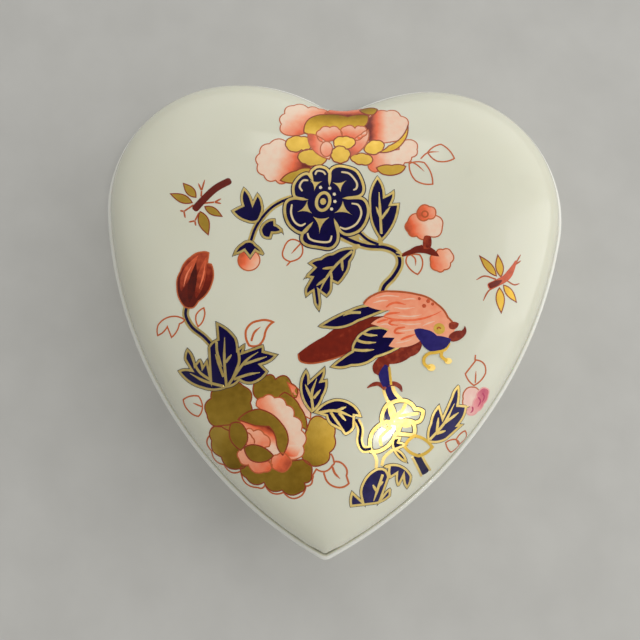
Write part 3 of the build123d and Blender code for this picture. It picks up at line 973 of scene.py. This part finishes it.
def paint_left_sprig():
    """Hanging berry on a cobalt sprig, a rosebud below it and an insect beside it."""
    art = Motif("left_sprig")
    art.gilded_stem(((-9.2, 25), (-11.8, 24), (-14.3, 22.3), (-16.4, 19.8), (-17.8, 17.2), (-18.7, 14)),
        1.5)
    art.gilded_leaf(arcs(
        (-16.2, 20.8), (-16.2, 23.4), (-17.7, 25.9, 0.02), (-18.6, 24, 0.08), (-20.9, 27.2, 0.12),
        (-21.2, 22.8, 0.02), (-23.6, 21.4, 0.1), (-19.8, 18.7, 0.12), (-17, 18.9, 0.05)))
    art.gilded_leaf(arcs(
        (-16.8, 17.2), (-15.3, 19.4), (-13.2, 19.9, 0.02), (-13, 18.6, 0.1), (-11.2, 17, 0.1),
        (-13.6, 16.2, 0), (-13.9, 15, 0.1), (-15.9, 15.2)))
    berry = oval(-18.8, 10, 2.5, 2.4)
    art.petal(coral, berry, tone=shaded((-20.5, 10.5), (-17, 9), 0.6, 0.12))
    art.gilded_leaf(arcs(
        (-22.6, 10.8, 0.12), (-20.6, 14, 0.12), (-18.8, 14.7, 0.12), (-17.3, 13.8, 0.1), (-15.1, 11, 0.05),
        (-17.4, 11.9, 0), (-18.5, 10.1, 0), (-20, 11.9, 0.05)), layer=1)

    bud = arcs(
        (-33, -1), (-35, 3.6), (-34.3, 7), (-32.2, 10.3), (-29.5, 11.6), (-28, 11.4, 0), (-28.2, 9, 0),
        (-27.3, 8.8), (-26.9, 4.6), (-29.8, 0.3, 0.05), (-30.9, -1.2))
    art.petal(coral, bud, 2, shaded((-30, 10), (-32, 2), 0.66, 0.9))
    art.fill(coral, blade((-34, 2.4), (-30.4, 10.8), 2.2, 0.06), 3,
        shaded((-31, 10), (-33.6, 3), 0.56, 0.74))
    art.fill(coral, blade((-30.4, 0.8), (-28.5, 10.6), 2), 3, shaded((-28.6, 10), (-30, 2), 0.6, 0.74))
    art.line(coral, curve((-33.4, 3.4), (-32.9, 6), (-31.8, 8.4)), 0.4, 4, ends=(0.1, 0.1), tone=0.42)
    art.line(coral, curve((-29.8, 3), (-29, 6), (-28.7, 9)), 0.4, 4, ends=(0.1, 0.1), tone=0.45)
    art.fill(coral, blade((-31.9, 0), (-30.8, 9.2), 1.8), 4, 0.95)
    art.gilded_stem(((-32.4, -0.6), (-32.6, -3), (-31, -5.6), (-28, -7.8), (-25.4, -10.4)), 1.6)
    art.drawn_leaf(arcs(
        (-32.8, -4), (-36, -3.3), (-39.2, -5.2), (-39.3, -7.6), (-36.9, -5.6, 0), (-35.8, -8), (-34, -4.9)))
    art.drawn_leaf(arcs((-29.6, -5.4), (-30.2, -2.9), (-28.5, -1.2), (-28.4, -3.6)))

    body = curve((-32.2, 21.2), (-29.8, 24.1), (-27.2, 26.7), (-23.8, 28.7))
    art.line(coral, body, 1.7, 1, tone=0.85)
    for base, tip, width in (
            ((-32.6, 23.1), (-37.9, 25.2), 1.9), ((-31.8, 24.4), (-35, 27.7), 1.9),
            ((-29.6, 22.2), (-25.5, 20), 1.7), ((-30.6, 21), (-28.4, 15.6), 2.4)):
        art.petal(gilding, blade(base, tip, width), width=0.25)
    for joint, ends in (
            ((-30.6, 26), ((-31.5, 27.8), (-30, 28.7))), ((-27.4, 23.3), ((-25.9, 24.2), (-25.8, 23))),
            ((-34.4, 21), ((-35.4, 21.2), (-34, 19.4))), ((-31.7, 18.8), ((-33.2, 18.5), (-31.4, 17.6)))):
        for end in ends:
            art.line(line_red, curve(end, joint), 0.4, 0, ends=(0.3, 1))
    for joint, foot in (
            ((-30.6, 26), (-30.6, 24.5)), ((-27.4, 23.3), (-30, 23)), ((-34.4, 21), (-32.2, 22.6)),
            ((-31.7, 18.8), (-30.8, 20.8))):
        art.line(line_red, curve(joint, foot), 0.4, 0)
    art.build()


def paint_right_sprig():
    """Small coral blossoms on a dark twig, and a second insect."""
    art = Motif("right_sprig")
    art.petal(coral, scallops(
        (19, 16.9), (22, 16.9, 0.3), (24.8, 19.2), (23.2, 21.9, 0.12), (20, 22), (16.9, 20.2), (17, 17.8)),
        tone=shaded((17.2, 18.6), (21.2, 20), 0.64, 0.05))
    art.petal(coral, scallops((19.2, 21.2, 0.15), (19.4, 23.4), (21.8, 23.9), (23.3, 22.4), (21.6, 21)), 1,
        shaded((19.4, 22), (23, 22.6), 0.62, 0.3))
    art.line(line_red, oval(20.8, 22.1, 0.7, 0.7), 0.35, 2, closed=True)
    art.fill(coral, arcs((20.8, 17), (22.2, 17), (22.1, 14, 0), (20.7, 14)), 2, 0.72)
    art.fill(coral, arcs(
        (15.4, 11.8), (17.6, 13.7), (20.3, 14.8), (22.4, 14.3), (24.2, 12.4, 0.05), (21.5, 12.9, -0.05),
        (18.6, 12.9, 0)), 2, 0.8)
    art.line(line_red, curve((15.8, 12.6), (18, 13.8), (20.4, 14.9)), 0.3, 0)
    art.petal(coral, scallops(
        (23.5, 13.2), (22.3, 11), (23.8, 9.1), (25.4, 9.4), (26.8, 11), (27, 13.4), (25, 14)), 1,
        shaded((23, 11), (26.5, 12), 0.5, 0.12))
    art.drawn_leaf(arcs((17, 12.2), (16.8, 10.6), (19.4, 8.1), (20.5, 10.6), (19.8, 12.6)),
        [((17.8, 12.6), (18.8, 11.6), (18.9, 10))])

    art.line(coral, curve((35.4, 5.9), (37.6, 7), (39.8, 8.4), (41.3, 10.6), (42.2, 12.6)), 1.6, 1,
        ends=(1, 0.2), tone=0.6)
    art.line(coral, curve((35.5, 6), (37.6, 7), (39, 7.8)), 1.2, 2, ends=(1, 0.1), tone=0.8)
    for feeler in ((43.3, 14), (43.4, 12.6)):
        art.line(line_red, curve((41.8, 11.4), feeler), 0.35, 0, ends=(1, 0.3))
    for base, tip, width in (
            ((37.4, 8.6), (33.5, 12.9), 1.7), ((38.5, 8.5), (37.7, 13.4), 1.8),
            ((39.2, 6.6), (42.5, 3), 1.7), ((38.2, 5.9), (38.8, 0.3), 2)):
        art.petal(gilding, blade(base, tip, width), width=0.25)
    for leg in (
            ((37.4, 7.8), (34.7, 8.4), (32.7, 7.4)), ((37.4, 6.2), (35.6, 5), (34.4, 2.7)),
            ((39.8, 7.8), (41.7, 6.9), (43.2, 7.3))):
        art.line(line_red, curve(*leg), 0.35, 0, ends=(1, 0.4))

    art.drawn_leaf(arcs((33, -16.3), (35.7, -13.4, 0.25), (33.2, -10.6, 0), (30.8, -13.8)),
        [((33.3, -15.8), (33.3, -13)), ((33, -9.4), (32.9, -11))])
    art.petal(rose, arcs(
        (30.6, -19.4), (31, -17.4), (32.7, -16.7), (34.3, -17.4), (34.6, -19.6), (32.2, -22), (31, -21.2),
        bulge=0.14), tone=0.1)
    art.petal(rose, arcs(
        (33.8, -19), (34.6, -17.2), (36.1, -16.8, 0.3), (36.9, -18.4), (36, -20.4), (34.6, -22.1),
        (32.8, -23), (31.7, -22.4), (33.2, -20.9), bulge=0.16), 1,
        shaded((32.4, -22.6), (36.2, -18), 0.22, 0.85), edge=rose)
    for fold in (
            ((34.2, -18.8), (35, -19.8), (34.4, -21.2)), ((35.2, -17.8), (35.9, -18.8), (35.4, -20.2)),
            ((33, -21), (33.2, -21.9), (32.6, -22.6))):
        art.line(rose, curve(*fold), 0.4, 2, ends=(0.6, 0.2), tone=1)
    art.drawn_leaf(arcs((27.2, -29.4), (29.6, -28.7), (31.2, -30), (29, -31.8)))
    art.drawn_leaf(arcs((29.9, -28.6), (31.9, -26.7), (32.8, -28.4), (31, -30)))
    art.build()


def paint_big_flower():
    """Full-blown gilded and pink flower at the lower left, with its cobalt leaves."""
    art = Motif("big_flower")
    for frill in (
            ((-23.6, -27.4), (-26.3, -29.8), (-26, -33.4), (-23, -36.4), (-19, -37.6)),
            ((-18.8, -37.6), (-14.8, -41), (-13.2, -40.2), (-8.9, -41.6), (-4.8, -42, -0.08), (-4, -39.9),
             (-2.6, -38.2, -0.1), (-2.5, -37.3, 0), (-1.8, -36), (1.7, -35), (2, -34.1, -0.08),
             (1.2, -32.4))):
        art.line(line_red, arcs(*frill, bulge=-0.26, closed=False), 0.38, 0, tone=0.35)
    # These gold petals get low, graded tones: painted shade and painted reflection on the gilding
    art.petal(gilding, scallops(
        (-24, -18.8), (-18.6, -18.4), (-17, -22), (-18.6, -26.6), (-23.4, -27.6), (-26.9, -25),
        (-26, -21.4)), tone=shaded((-20, -18), (-22, -27), 0.15, 0.4))
    art.petal(gilding, scallops(
        (-19.6, -26.8, 0), (-25, -27.6), (-25.8, -31), (-23.6, -34.6), (-19.3, -37), (-17.5, -34.8)),
        tone=shaded((-24.5, -30), (-19, -32.5), 0.65, 0.1))
    art.petal(gilding, scallops(
        (-18.7, -36.3), (-17.6, -38.9), (-13.4, -39.6), (-9.3, -41.1, 0.22), (-5.1, -41.3), (-4.3, -39.2),
        (-2.8, -37.2), (-5, -34, 0), (-14, -35.6, 0)), tone=shaded((-16, -38), (-5, -36), 0.3, 0.05))
    art.petal(gilding, scallops(
        (-16.4, -18), (-13.6, -15.8), (-11.6, -16.6, 0.35), (-8, -17.4), (-6.8, -20.4, 0), (-14, -21.6)),
        tone=0.2)
    art.petal(coral, arcs((-8.9, -17.2), (-4.8, -20.6), (-3.5, -25), (-6.6, -22.3, 0)),
        tone=shaded((-8.5, -17.8), (-4, -24), 0.5, 0.05))
    art.petal(gilding, arcs(
        (-9.4, -19.4), (-5.8, -22.6), (-4.2, -27.5, 0), (-7.8, -25.4, 0), (-10.8, -20.8)), 1, 0.2)
    art.petal(gilding, scallops(
        (-3.6, -25.4), (-0.4, -24.9), (1.9, -28.6, 0.2), (1, -32.2, 0.22), (-0.6, -35, 0.15),
        (-4, -34.7, 0.1), (-5.3, -32.6, 0.1), (-4.8, -29, 0)), tone=shaded((-3, -35), (-1, -26), 0.1, 0.6))
    art.petal(coral, scallops(
        (-15.6, -22.6), (-14.2, -20.7), (-11.6, -20.7), (-8.9, -22.2), (-7.2, -24.6), (-5.4, -27.6),
        (-4.9, -31), (-6, -33.8, 0.15), (-9.6, -33.4, 0), (-9, -27.5, 0)), 2,
        shaded((-11, -22), (-13.6, -23.4), 0.04, 0.4))
    art.fill(coral, arcs((-9.2, -30.8, 0), (-5.5, -30.8), (-6.2, -33.3), (-9.2, -33, 0), bulge=0.1), 3,
        shaded((-7, -30.9), (-8, -33.4), 0.04, 0.6))
    art.petal(coral, arcs(
        (-19, -26.2), (-12.5, -25.8), (-9.4, -30), (-9.4, -34), (-12, -34.6), (-18.6, -32.4)), 3,
        shaded((-12.6, -26.8), (-14.2, -30.4), 0.85, 0.05))
    art.petal(gilding, arcs(
        (-19.6, -25.8), (-15, -23.3), (-9.8, -26.3), (-8.2, -30, 0.05), (-9.3, -33.2), (-10.8, -30.6, -0.1),
        (-12.6, -27, 0), (-15.6, -27, 0)), 4, 0.22)
    art.petal(gilding, arcs((-21.2, -26.8, 0.15), (-18.6, -26.8, 0.25), (-18.8, -32.6, 0.22)), 5, 0.25)
    art.petal(coral, scallops(
        (-18.2, -29.6), (-17.8, -28), (-16, -28.2), (-13.6, -28.8), (-12.4, -31.4, 0), (-14.6, -32)), 4,
        shaded((-16.2, -28.2), (-15, -31.5), 0.2, 0.4))
    art.line(line_red, arcs((-18, -28.6), (-16.3, -29.6), (-15.8, -31), closed=False, bulge=0.2), 0.3, 5)
    art.petal(coral, scallops(
        (-19, -32.6), (-19.2, -34.6), (-17, -35.8), (-13.4, -37.2), (-11.6, -35.4, 0), (-15, -33)), 4,
        shaded((-18.5, -33), (-12, -36.5), 0.25, 0.5))
    art.petal(coral, scallops((-11.8, -34.6), (-10.6, -33.2), (-8, -33.6), (-7.8, -35.8), (-10.6, -36.6)),
        4, shaded((-11.4, -34), (-8.6, -35.8), 0.36, 0.64))
    art.petal(gilding, arcs((-18, -32), (-15.6, -31.2), (-11.4, -33.4), (-13.6, -34.9), (-16.6, -34.6)), 6,
        0.2)
    art.line(line_red, arcs((2, -34.2), (4.4, -35), (4.9, -37.2, 0), (5.5, -38.9), (2.6, -39.8),
        (0.1, -37.4, 0.05), (-0.1, -36.6), closed=False, bulge=0.15), 0.42, 0, tone=0.3)
    art.line(line_red, curve((1.7, -35.2), (2.3, -36.7), (3.6, -38)), 0.5, 0, ends=(1, 0.2), tone=0.3)
    art.drawn_leaf(arcs((-28, -23.6), (-29, -21), (-32.8, -22), (-31.6, -24.4), (-29, -25.6)),
        [((-28, -23.4), (-30.4, -22.6))])
    art.drawn_leaf(arcs(
        (-17.8, -9.3), (-18.7, -6, 0.15), (-15.9, -3.7), (-12.7, -3.9, -0.1), (-14.4, -6.5), (-15.6, -9.2)),
        [((-17.4, -8.4), (-16.8, -6.4), (-15.4, -5))], 0.5)
    art.gilded_leaf(arcs(
        (-22.4, -19), (-28, -19.4), (-34.2, -15.5), (-31.3, -14.9, 0), (-32.6, -13), (-31.9, -10.2),
        (-29.8, -13.5, 0), (-28.9, -12.4), (-28, -13.8, 0), (-27.2, -12.5), (-26.9, -13, 0), (-27.2, -10),
        (-25.2, -8, 0), (-25.7, -4.1, 0.08), (-20.7, -7.6, 0.05), (-20.1, -9.8, 0), (-18.8, -8.7),
        (-18.8, -10.5, 0), (-14.7, -8.9), (-14.3, -10.3, 0), (-11.1, -11), (-14.5, -13.6, 0),
        (-13.1, -14.9), (-16.6, -17.9), (-19.6, -17.4)), [
        ((-22.5, -18.6), (-23.2, -13), (-23.4, -7.6)), ((-23, -13.4), (-21.6, -11.4)),
        ((-23, -18.6), (-27.5, -17.6), (-31.2, -15.9)), ((-26, -17.4), (-29, -15.4), (-31.2, -11.6)),
        ((-22.2, -18.4), (-18.6, -13), (-15.6, -10.6)), ((-19, -13.6), (-13.6, -11.6)),
        ((-21, -17), (-17.8, -15.8), (-15, -15.2)), ((-23.2, -16.6), (-25.4, -11.4)),
        ((-25.2, -8.6), (-24.9, -11.2), (-23.6, -14.4)), ((-20.3, -10), (-19.9, -13.2), (-21.4, -16.8))], 3)
    art.gilded_leaf(arcs(
        (-3.3, -23.8), (-6.2, -18.5), (-4.9, -13.9), (-3.9, -16.3, 0), (-0.7, -13.2), (-0.9, -16.2, 0),
        (0, -16), (-0.7, -20)), [
        ((-3, -23), (-3.4, -19.4), (-2.4, -16)), ((-3.4, -20.6), (-5, -17.4)),
        ((-3.1, -20.6), (-1.4, -18.4))], 4)
    art.gilded_leaf(arcs(
        (-3, -23.7), (1.6, -20.3), (6, -21.4), (7.9, -24.3, 0), (6.4, -24.2, 0), (6.4, -26.6), (4.4, -28.4),
        (3.4, -27.4, 0), (1.2, -26.4), (-0.2, -24.4, 0)), [
        ((-2, -23.6), (2, -23), (6.3, -24.4)), ((2, -23.1), (4.4, -22)),
        ((0.8, -23.2), (2.4, -25.4), (3.8, -27)), ((2.6, -23.3), (4.4, -25.2))], 4)
    art.gilded_stem(((6.5, -24.6), (7.6, -26.8), (7.5, -29.4), (8.4, -31.2), (10.2, -31)), 1.5, 3)
    art.build()


def paint_bird():
    """Long-tailed bird with a coral body and cobalt wing and tail feathers."""
    art = Motif("bird")
    art.fill(coral, arcs(
        (12.6, -1.6), (4, -3), (-1, -6.6), (-6.9, -10.8), (-6.2, -12.4), (-3.6, -12.7, 0.05), (4.8, -10.2),
        (12.6, -5.6), bulge=0.03), 0, 0.77)
    art.line(line_red, curve((-6.8, -10.8), (-6.2, -12.4), (-3.6, -12.8), (0.2, -11.9), (4.8, -10.2)), 0.35,
        1)
    art.gilded_leaf(arcs(
        (13.4, -0.2), (8.6, 1, 0.05), (4.4, -0.3, 0.03), (-2.8, -4.4), (-1, -4.9), (6.4, -3.2, 0)),
        [((7, -1), (4.4, -1.2), (2.8, -2))], 1)
    art.fill(coral, arcs(
        (14.2, -9), (20.6, -6.6), (20.4, -8.9), (18.2, -10.5), (13.6, -12.3), (12.2, -15.4, 0),
        (10.2, -14.4), (9.9, -12.6)), 1, 0.74)
    art.gilded_leaf(arcs(
        (13.4, -4.5), (10.4, -4), (7.6, -5.1), (5.7, -7.1), (5, -9.6, 0.02), (2.7, -11.3, 0.04),
        (0.3, -13.5), (5.2, -13.2), (10.7, -11.1, 0.04), (16, -8.6, 0), (15.8, -5.6)), [
        ((7.2, -5.5), (8.8, -6), (10.8, -6)), ((6, -7.2), (8, -7.7), (10.6, -7.6)),
        ((5.3, -9.4), (7.6, -9.5), (10.2, -9.2))], 2)
    body = arcs(
        (7.4, 0.9), (9.6, 3), (13.6, 4, 0.03), (19.6, 3.5), (23.9, 1.5), (26.4, -1.4, 0.03),
        (28.4, -3.2, 0), (27, -6.4, 0.05), (20.4, -6.8), (16, -8.5), (13.3, -8.3, 0), (14.6, -6.4, 0),
        (11.9, -6.4, 0), (13.2, -4.6, 0), (9.2, -3.5), (12.1, -1.8, 0), (13.4, -0.3), bulge=0.08)
    art.fill(coral, body, 3, shaded((16, 4), (16, -8), 0.36, 0.25))
    art.line(line_red, arcs((7.4, 0.9), (9.6, 3), (13.6, 4, 0.03), (19.6, 3.5), (23.9, 1.5),
        (26.4, -1.4, 0.03), (27.6, -2.6), closed=False, bulge=0.08), 0.45, 4)
    for feather in (
            ((12, -1.8), (13.7, -2.2), (17.2, -2.4), (20.6, -1.9), (23.3, -0.9), (25.1, 0.1)),
            ((12.4, 0.3), (13.4, 1.1), (14.8, 1.5), (17, 1.1)), ((12, -1.8), (13, -1.1), (15.8, -0.7)),
            ((16, -2.5), (13.9, -2.6), (13.4, -3.4), (15.4, -3.6)),
            ((17, -3.9), (15, -4.4), (14.7, -5.3), (17, -5.3)), ((15.8, -6.9), (17.2, -6.2), (19.4, -5.4)),
            ((10.4, -3.2), (12, -2.6), (13.2, -2.4))):
        art.line(coral, curve(*feather), 0.5, 4, ends=(0.5, 0.2), tone=0.5)
    for streak in (
            ((9.4, 1.2), (11.4, 1.8), (13, 1.9)), ((10, 2.4), (12.6, 3), (15.4, 2.9)),
            ((14.2, 0.4), (16.6, 0.2), (19, 0.6)), ((15, -1.4), (18, -1.5), (20.6, -1)),
            ((16, 2.2), (18, 2.5), (19.2, 2.4)), ((11.2, -3.7), (12.6, -3.4), (14, -3.9)),
            ((15.6, -3.1), (18, -3.3), (20.4, -3)), ((15.4, -4.9), (17.6, -4.6), (19.4, -4.3)),
            ((14.6, -7.6), (16.4, -7.3), (18.4, -6.6)), ((20.6, -3.6), (22, -2.9), (23.6, -2.3))):
        art.line(coral, curve(*streak), 0.32, 4, ends=(0.2, 0.2), tone=0.12)
    for x, y, radius in ((19.9, 2.6, 0.4), (21.9, 2.1, 0.5), (22.9, 1.5, 0.4), (21, 1, 0.5)):
        art.fill(coral, oval(x, y, radius, radius), 4, 0.62)
    art.fill(coral, arcs((26.8, -3.8), (26.8, -2.6), (28.9, -2.6), (28.1, -3.9), bulge=0.15), 4, 0.72)
    art.fill(coral, arcs(
        (27.1, -5), (29.6, -4.2, -0.12), (30.3, -3.1, 0.2), (30.2, -5.4), (27.6, -6.8), (26.6, -6)), 4,
        0.74)
    art.fill(gilding, oval(24.5, -4, 1.3, 1.25), 4, 0.6)
    art.line(line_red, arcs((24, -4.2), (24.9, -4.1), closed=False, bulge=0.5), 0.35, 5)
    art.fill(cobalt, arcs(
        (18.9, -4.4), (21.4, -4.3), (24, -5.6, 0.05), (27.2, -6.2), (26.2, -8), (22.6, -9.1), (20.4, -7)),
        5, 0.12)
    art.line(gilding, curve(
        (27.1, -7), (26, -8.6), (24, -9.3), (22.4, -9.6), (21.3, -10.6), (21.4, -12), (22.8, -12.9)), 0.7,
        6, ends=(0.3, 1))
    art.line(gilding, curve((25.2, -9), (25.2, -10.2), (26.6, -11.2)), 0.7, 6)
    art.fill(gilding, oval(22.9, -12.7, 1, 0.8), 5, 0.9)
    art.fill(gilding, oval(26.7, -11.1, 0.9, 0.7), 5, 0.9)
    art.line(coral, curve((13, -18), (11.4, -16.8), (10, -17), (8.7, -17.8)), 0.9, 2, ends=(1, 0.2),
        tone=0.72)
    art.line(coral, curve((13, -16.8), (14.8, -16.6), (16, -17.2), (16.6, -18.4)), 1, 2, ends=(1, 0.3),
        tone=0.72)
    art.fill(cobalt, arcs(
        (11.2, -14.8), (12.6, -12.4), (13.6, -13), (14, -17, 0), (12.3, -17.4), bulge=0.05), 2, 0.12)
    art.line(gilding, curve((13.5, -12.8), (13.8, -14.8), (14.1, -17)), 0.55, 3)
    art.build()


def paint_lower_blossom():
    """Gilded open blossom on a stout stem below the bird, with cobalt leaves round it."""
    art = Motif("lower_blossom")
    art.fill(cobalt, arcs((12.4, -16.6), (14.4, -16.6), (16, -20.6), (13.4, -20.6), bulge=0.03), 0, 0.15)
    art.line(gilding, curve((12.3, -16.6), (12.6, -18.6), (13.6, -20.8)), 0.7, 1, tone=GOLDEN_TONE)
    art.line(gilding, curve((14.3, -16.8), (15, -18.6), (17, -20.6)), 0.8, 1, tone=GOLDEN_TONE)
    for outline in (
            ((14, -21), (17.6, -20.3), (19.6, -22), (21.4, -22.4), (20.8, -24.6), (18.6, -25), (14.6, -24)),
            ((13.8, -20.8), (15, -23.6, 0), (13.6, -26.4), (12.2, -24.6)),
            ((13.4, -25), (10.2, -27.6), (10.2, -31.6), (12.6, -31.2), (15.4, -27.8), (16.4, -25.6, 0)),
            ((16, -25), (19.2, -24.8), (19.6, -27.8, 0), (16.2, -27.6))):
        petal = arcs(*outline)
        art.line(cobalt, petal, 1.2, 0, closed=True)
        art.line(gilding, petal, 0.85, 1, closed=True, tone=GOLDEN_TONE)
    for crease in (
            ((15, -23.6), (16.6, -22.6), (17.6, -20.6)), ((14.8, -24), (17.6, -23.4), (20.6, -22.9)),
            ((16, -25), (17.4, -25.8), (19, -25.6)), ((12.4, -30.6), (12.2, -28.4), (14.6, -26)),
            ((10.4, -31.4), (11.4, -33.4), (11.4, -35.6))):
        art.line(gilding, curve(*crease), 0.7, 1, tone=GOLDEN_TONE)
    art.fill(cobalt, arcs((13, -22.6), (13.6, -21.6), (14.4, -23.8, 0), (13.6, -25.6)), 0, 0.15)
    art.gilded_leaf(arcs(
        (18.4, -30.2), (16.6, -29.2, 0), (17, -28.2), (14.8, -28.4), (14.6, -30.4), (17.6, -34),
        (18.4, -33.4), (16.4, -31, 0)), layer=1)
    art.line(gilding, arcs((17.6, -30.4), (19.8, -27.9), (24, -30.4), (21, -32.4), bulge=0.1), 0.7, 2,
        closed=True, tone=0.7)
    art.line(gilding, curve((12.6, -35), (13.2, -32.8), (15.4, -30.8)), 0.7, 1, tone=GOLDEN_TONE)
    art.line(cobalt, curve((20.4, -32), (21.6, -34), (23.2, -36.8)), 2.3, 0)
    for side in (
            ((21.4, -31.8), (22.6, -33.8), (24.3, -36.1)), ((19.4, -32.6), (20.6, -34.6), (22.2, -37.4))):
        art.line(gilding, curve(*side), 0.55, 1, tone=GOLDEN_TONE)
    art.gilded_leaf(arcs(
        (22.8, -29.4), (23, -25), (25.1, -20.6, 0), (26, -23, 0), (27.6, -19), (29.5, -16, 0.05),
        (29.7, -20.6, 0), (31.7, -20.7), (30.4, -25), (31.4, -25.2, 0), (27.4, -28.8)), [
        ((23.2, -28.8), (26.4, -25), (28.6, -20.4)), ((26.4, -25), (29.8, -22.4)),
        ((24.8, -27), (25, -23.6)), ((24.6, -27.4), (27, -26.6))], 1, 0.3)
    art.gilded_leaf(arcs(
        (11.6, -35.2), (8.4, -38.6), (8.2, -42.2, 0), (6.2, -40.4), (6, -44.4, 0), (11, -43.8),
        (15.2, -41.8, 0), (15.2, -39.6), (13.6, -40.8, 0), (14.6, -37.4), (13.6, -35.4)), [
        ((13, -36.6), (12.2, -39.4), (11.2, -43)), ((12.2, -39.4), (13.2, -38.2)),
        ((11.8, -40.6), (10.8, -39))], 1, 0.3)
    art.gilded_leaf(arcs(
        (12.8, -34.8), (16.6, -34.3), (19.8, -37), (18.9, -40.3), (17.6, -38, 0), (16.8, -40),
        (15.8, -37, 0), (14.6, -37.8), (14, -35.4)), layer=2, tone=0.3)
    art.build()


for paint in (paint_top_flower, paint_blossom, paint_left_sprig, paint_right_sprig, paint_big_flower,
              paint_bird, paint_lower_blossom):
    paint()


# ---------------------------------------------------------------------------
# Floor, lights and camera, in metres
# ---------------------------------------------------------------------------
FLOOR_SIZE = 3.0
FLOOR_DROP = 0.0002                  # below the foot ring, so that the two don't flicker
WINDOW_DIRECTION = (0.75, 0.65, 0.1)
DIMMEST, BRIGHTEST = 0.24, 1.55      # surroundings away from the window and towards it
LENS = 33.75
SENSOR_WIDTH = 36
NEAREST = 0.01
TILT_YAW_ROLL = (-6.0, -0.52, -2.13)     # degrees
CAMERA_SHIFT = (0.0027, -0.00157, -0.1775)
# Name, place, target, width and height, watts and colour
LIGHTS = (
    ("lamp", (0.217, -0.237, 0.75), (0, 0, 0.04), (0.07, 0.07), 1.0, (1.0, 0.97, 0.88)),
    ("window", (0.85, 0.10, 0.30), (0, 0, 0.03), (0.5, 1.2), 1.9, (1.0, 0.99, 0.97)),
    ("far_window", (0.03, 0.64, 0.88), (0, 0.03, 0.03), (0.5, 0.2), 0.65, (1.0, 0.99, 0.95)))


def make_floor():
    bpy.ops.mesh.primitive_plane_add(size=FLOOR_SIZE, location=(0, 0, -FLOOR_DROP))
    floor = bpy.context.active_object
    floor.name = "floor"
    material, tree, shader = new_material("pale_floor")
    tint = ramp(tree, noise(tree, 60), [(0.3, (0.53, 0.525, 0.515)), (0.7, (0.57, 0.565, 0.555))])
    tree.links.new(tint, shader.inputs["Base Color"])
    shader.inputs["Roughness"].default_value = 0.8
    floor.data.materials.append(material)


def make_world():
    """Soft studio surroundings: dim overhead, brighter lower down and towards the window."""
    world = bpy.data.worlds.new("studio")
    world.use_nodes = True
    tree = world.node_tree
    background = tree.nodes["Background"]
    place = tree.nodes.new("ShaderNodeTexCoord").outputs["Generated"]
    parts = tree.nodes.new("ShaderNodeSeparateXYZ")
    tree.links.new(place, parts.inputs["Vector"])
    colour = ramp(tree, parts.outputs["Z"],
                  [(0.0, (0.72, 0.72, 0.70)), (0.35, (0.90, 0.90, 0.87)), (0.65, (0.79, 0.79, 0.76)),
                   (0.86, (0.44, 0.44, 0.425)), (0.97, (0.11, 0.11, 0.106))])
    tree.links.new(colour, background.inputs["Color"])
    towards = tree.nodes.new("ShaderNodeVectorMath")
    towards.operation = "DOT_PRODUCT"
    towards.inputs[1].default_value = WINDOW_DIRECTION
    tree.links.new(place, towards.inputs[0])
    strength = remapped(tree, towards.outputs["Value"], DIMMEST, BRIGHTEST, start=-1.0)
    tree.links.new(strength, background.inputs["Strength"])
    bpy.context.scene.world = world


def area_light(name, place, target, size, power, colour):
    data = bpy.data.lights.new(name, "AREA")
    data.shape = "RECTANGLE"
    data.size, data.size_y = size
    data.energy = power
    data.color = colour
    lamp = bpy.data.objects.new(name, data)
    bpy.context.scene.collection.objects.link(lamp)
    lamp.matrix_world = look_at(place, target)


def look_at(place, target):
    away = (Vector(place) - Vector(target)).normalized()
    turn = away.to_track_quat("Z", "Y").to_matrix().to_4x4()
    return Matrix.Translation(place) @ turn


def make_camera():
    """Hand-held camera, almost straight above and near."""
    data = bpy.data.cameras.new("camera")
    data.lens = LENS
    data.sensor_width = SENSOR_WIDTH
    data.clip_start = NEAREST
    camera = bpy.data.objects.new("camera", data)
    bpy.context.scene.collection.objects.link(camera)
    view = Matrix.Translation(CAMERA_SHIFT)
    for angle, axis in zip(TILT_YAW_ROLL, "XYZ"):
        view = view @ Matrix.Rotation(math.radians(angle), 4, axis)
    camera.matrix_world = view.inverted()
    bpy.context.scene.camera = camera


make_floor()
make_world()
for light in LIGHTS:
    area_light(*light)
bpy.context.scene.view_settings.view_transform = "Standard"
make_camera()
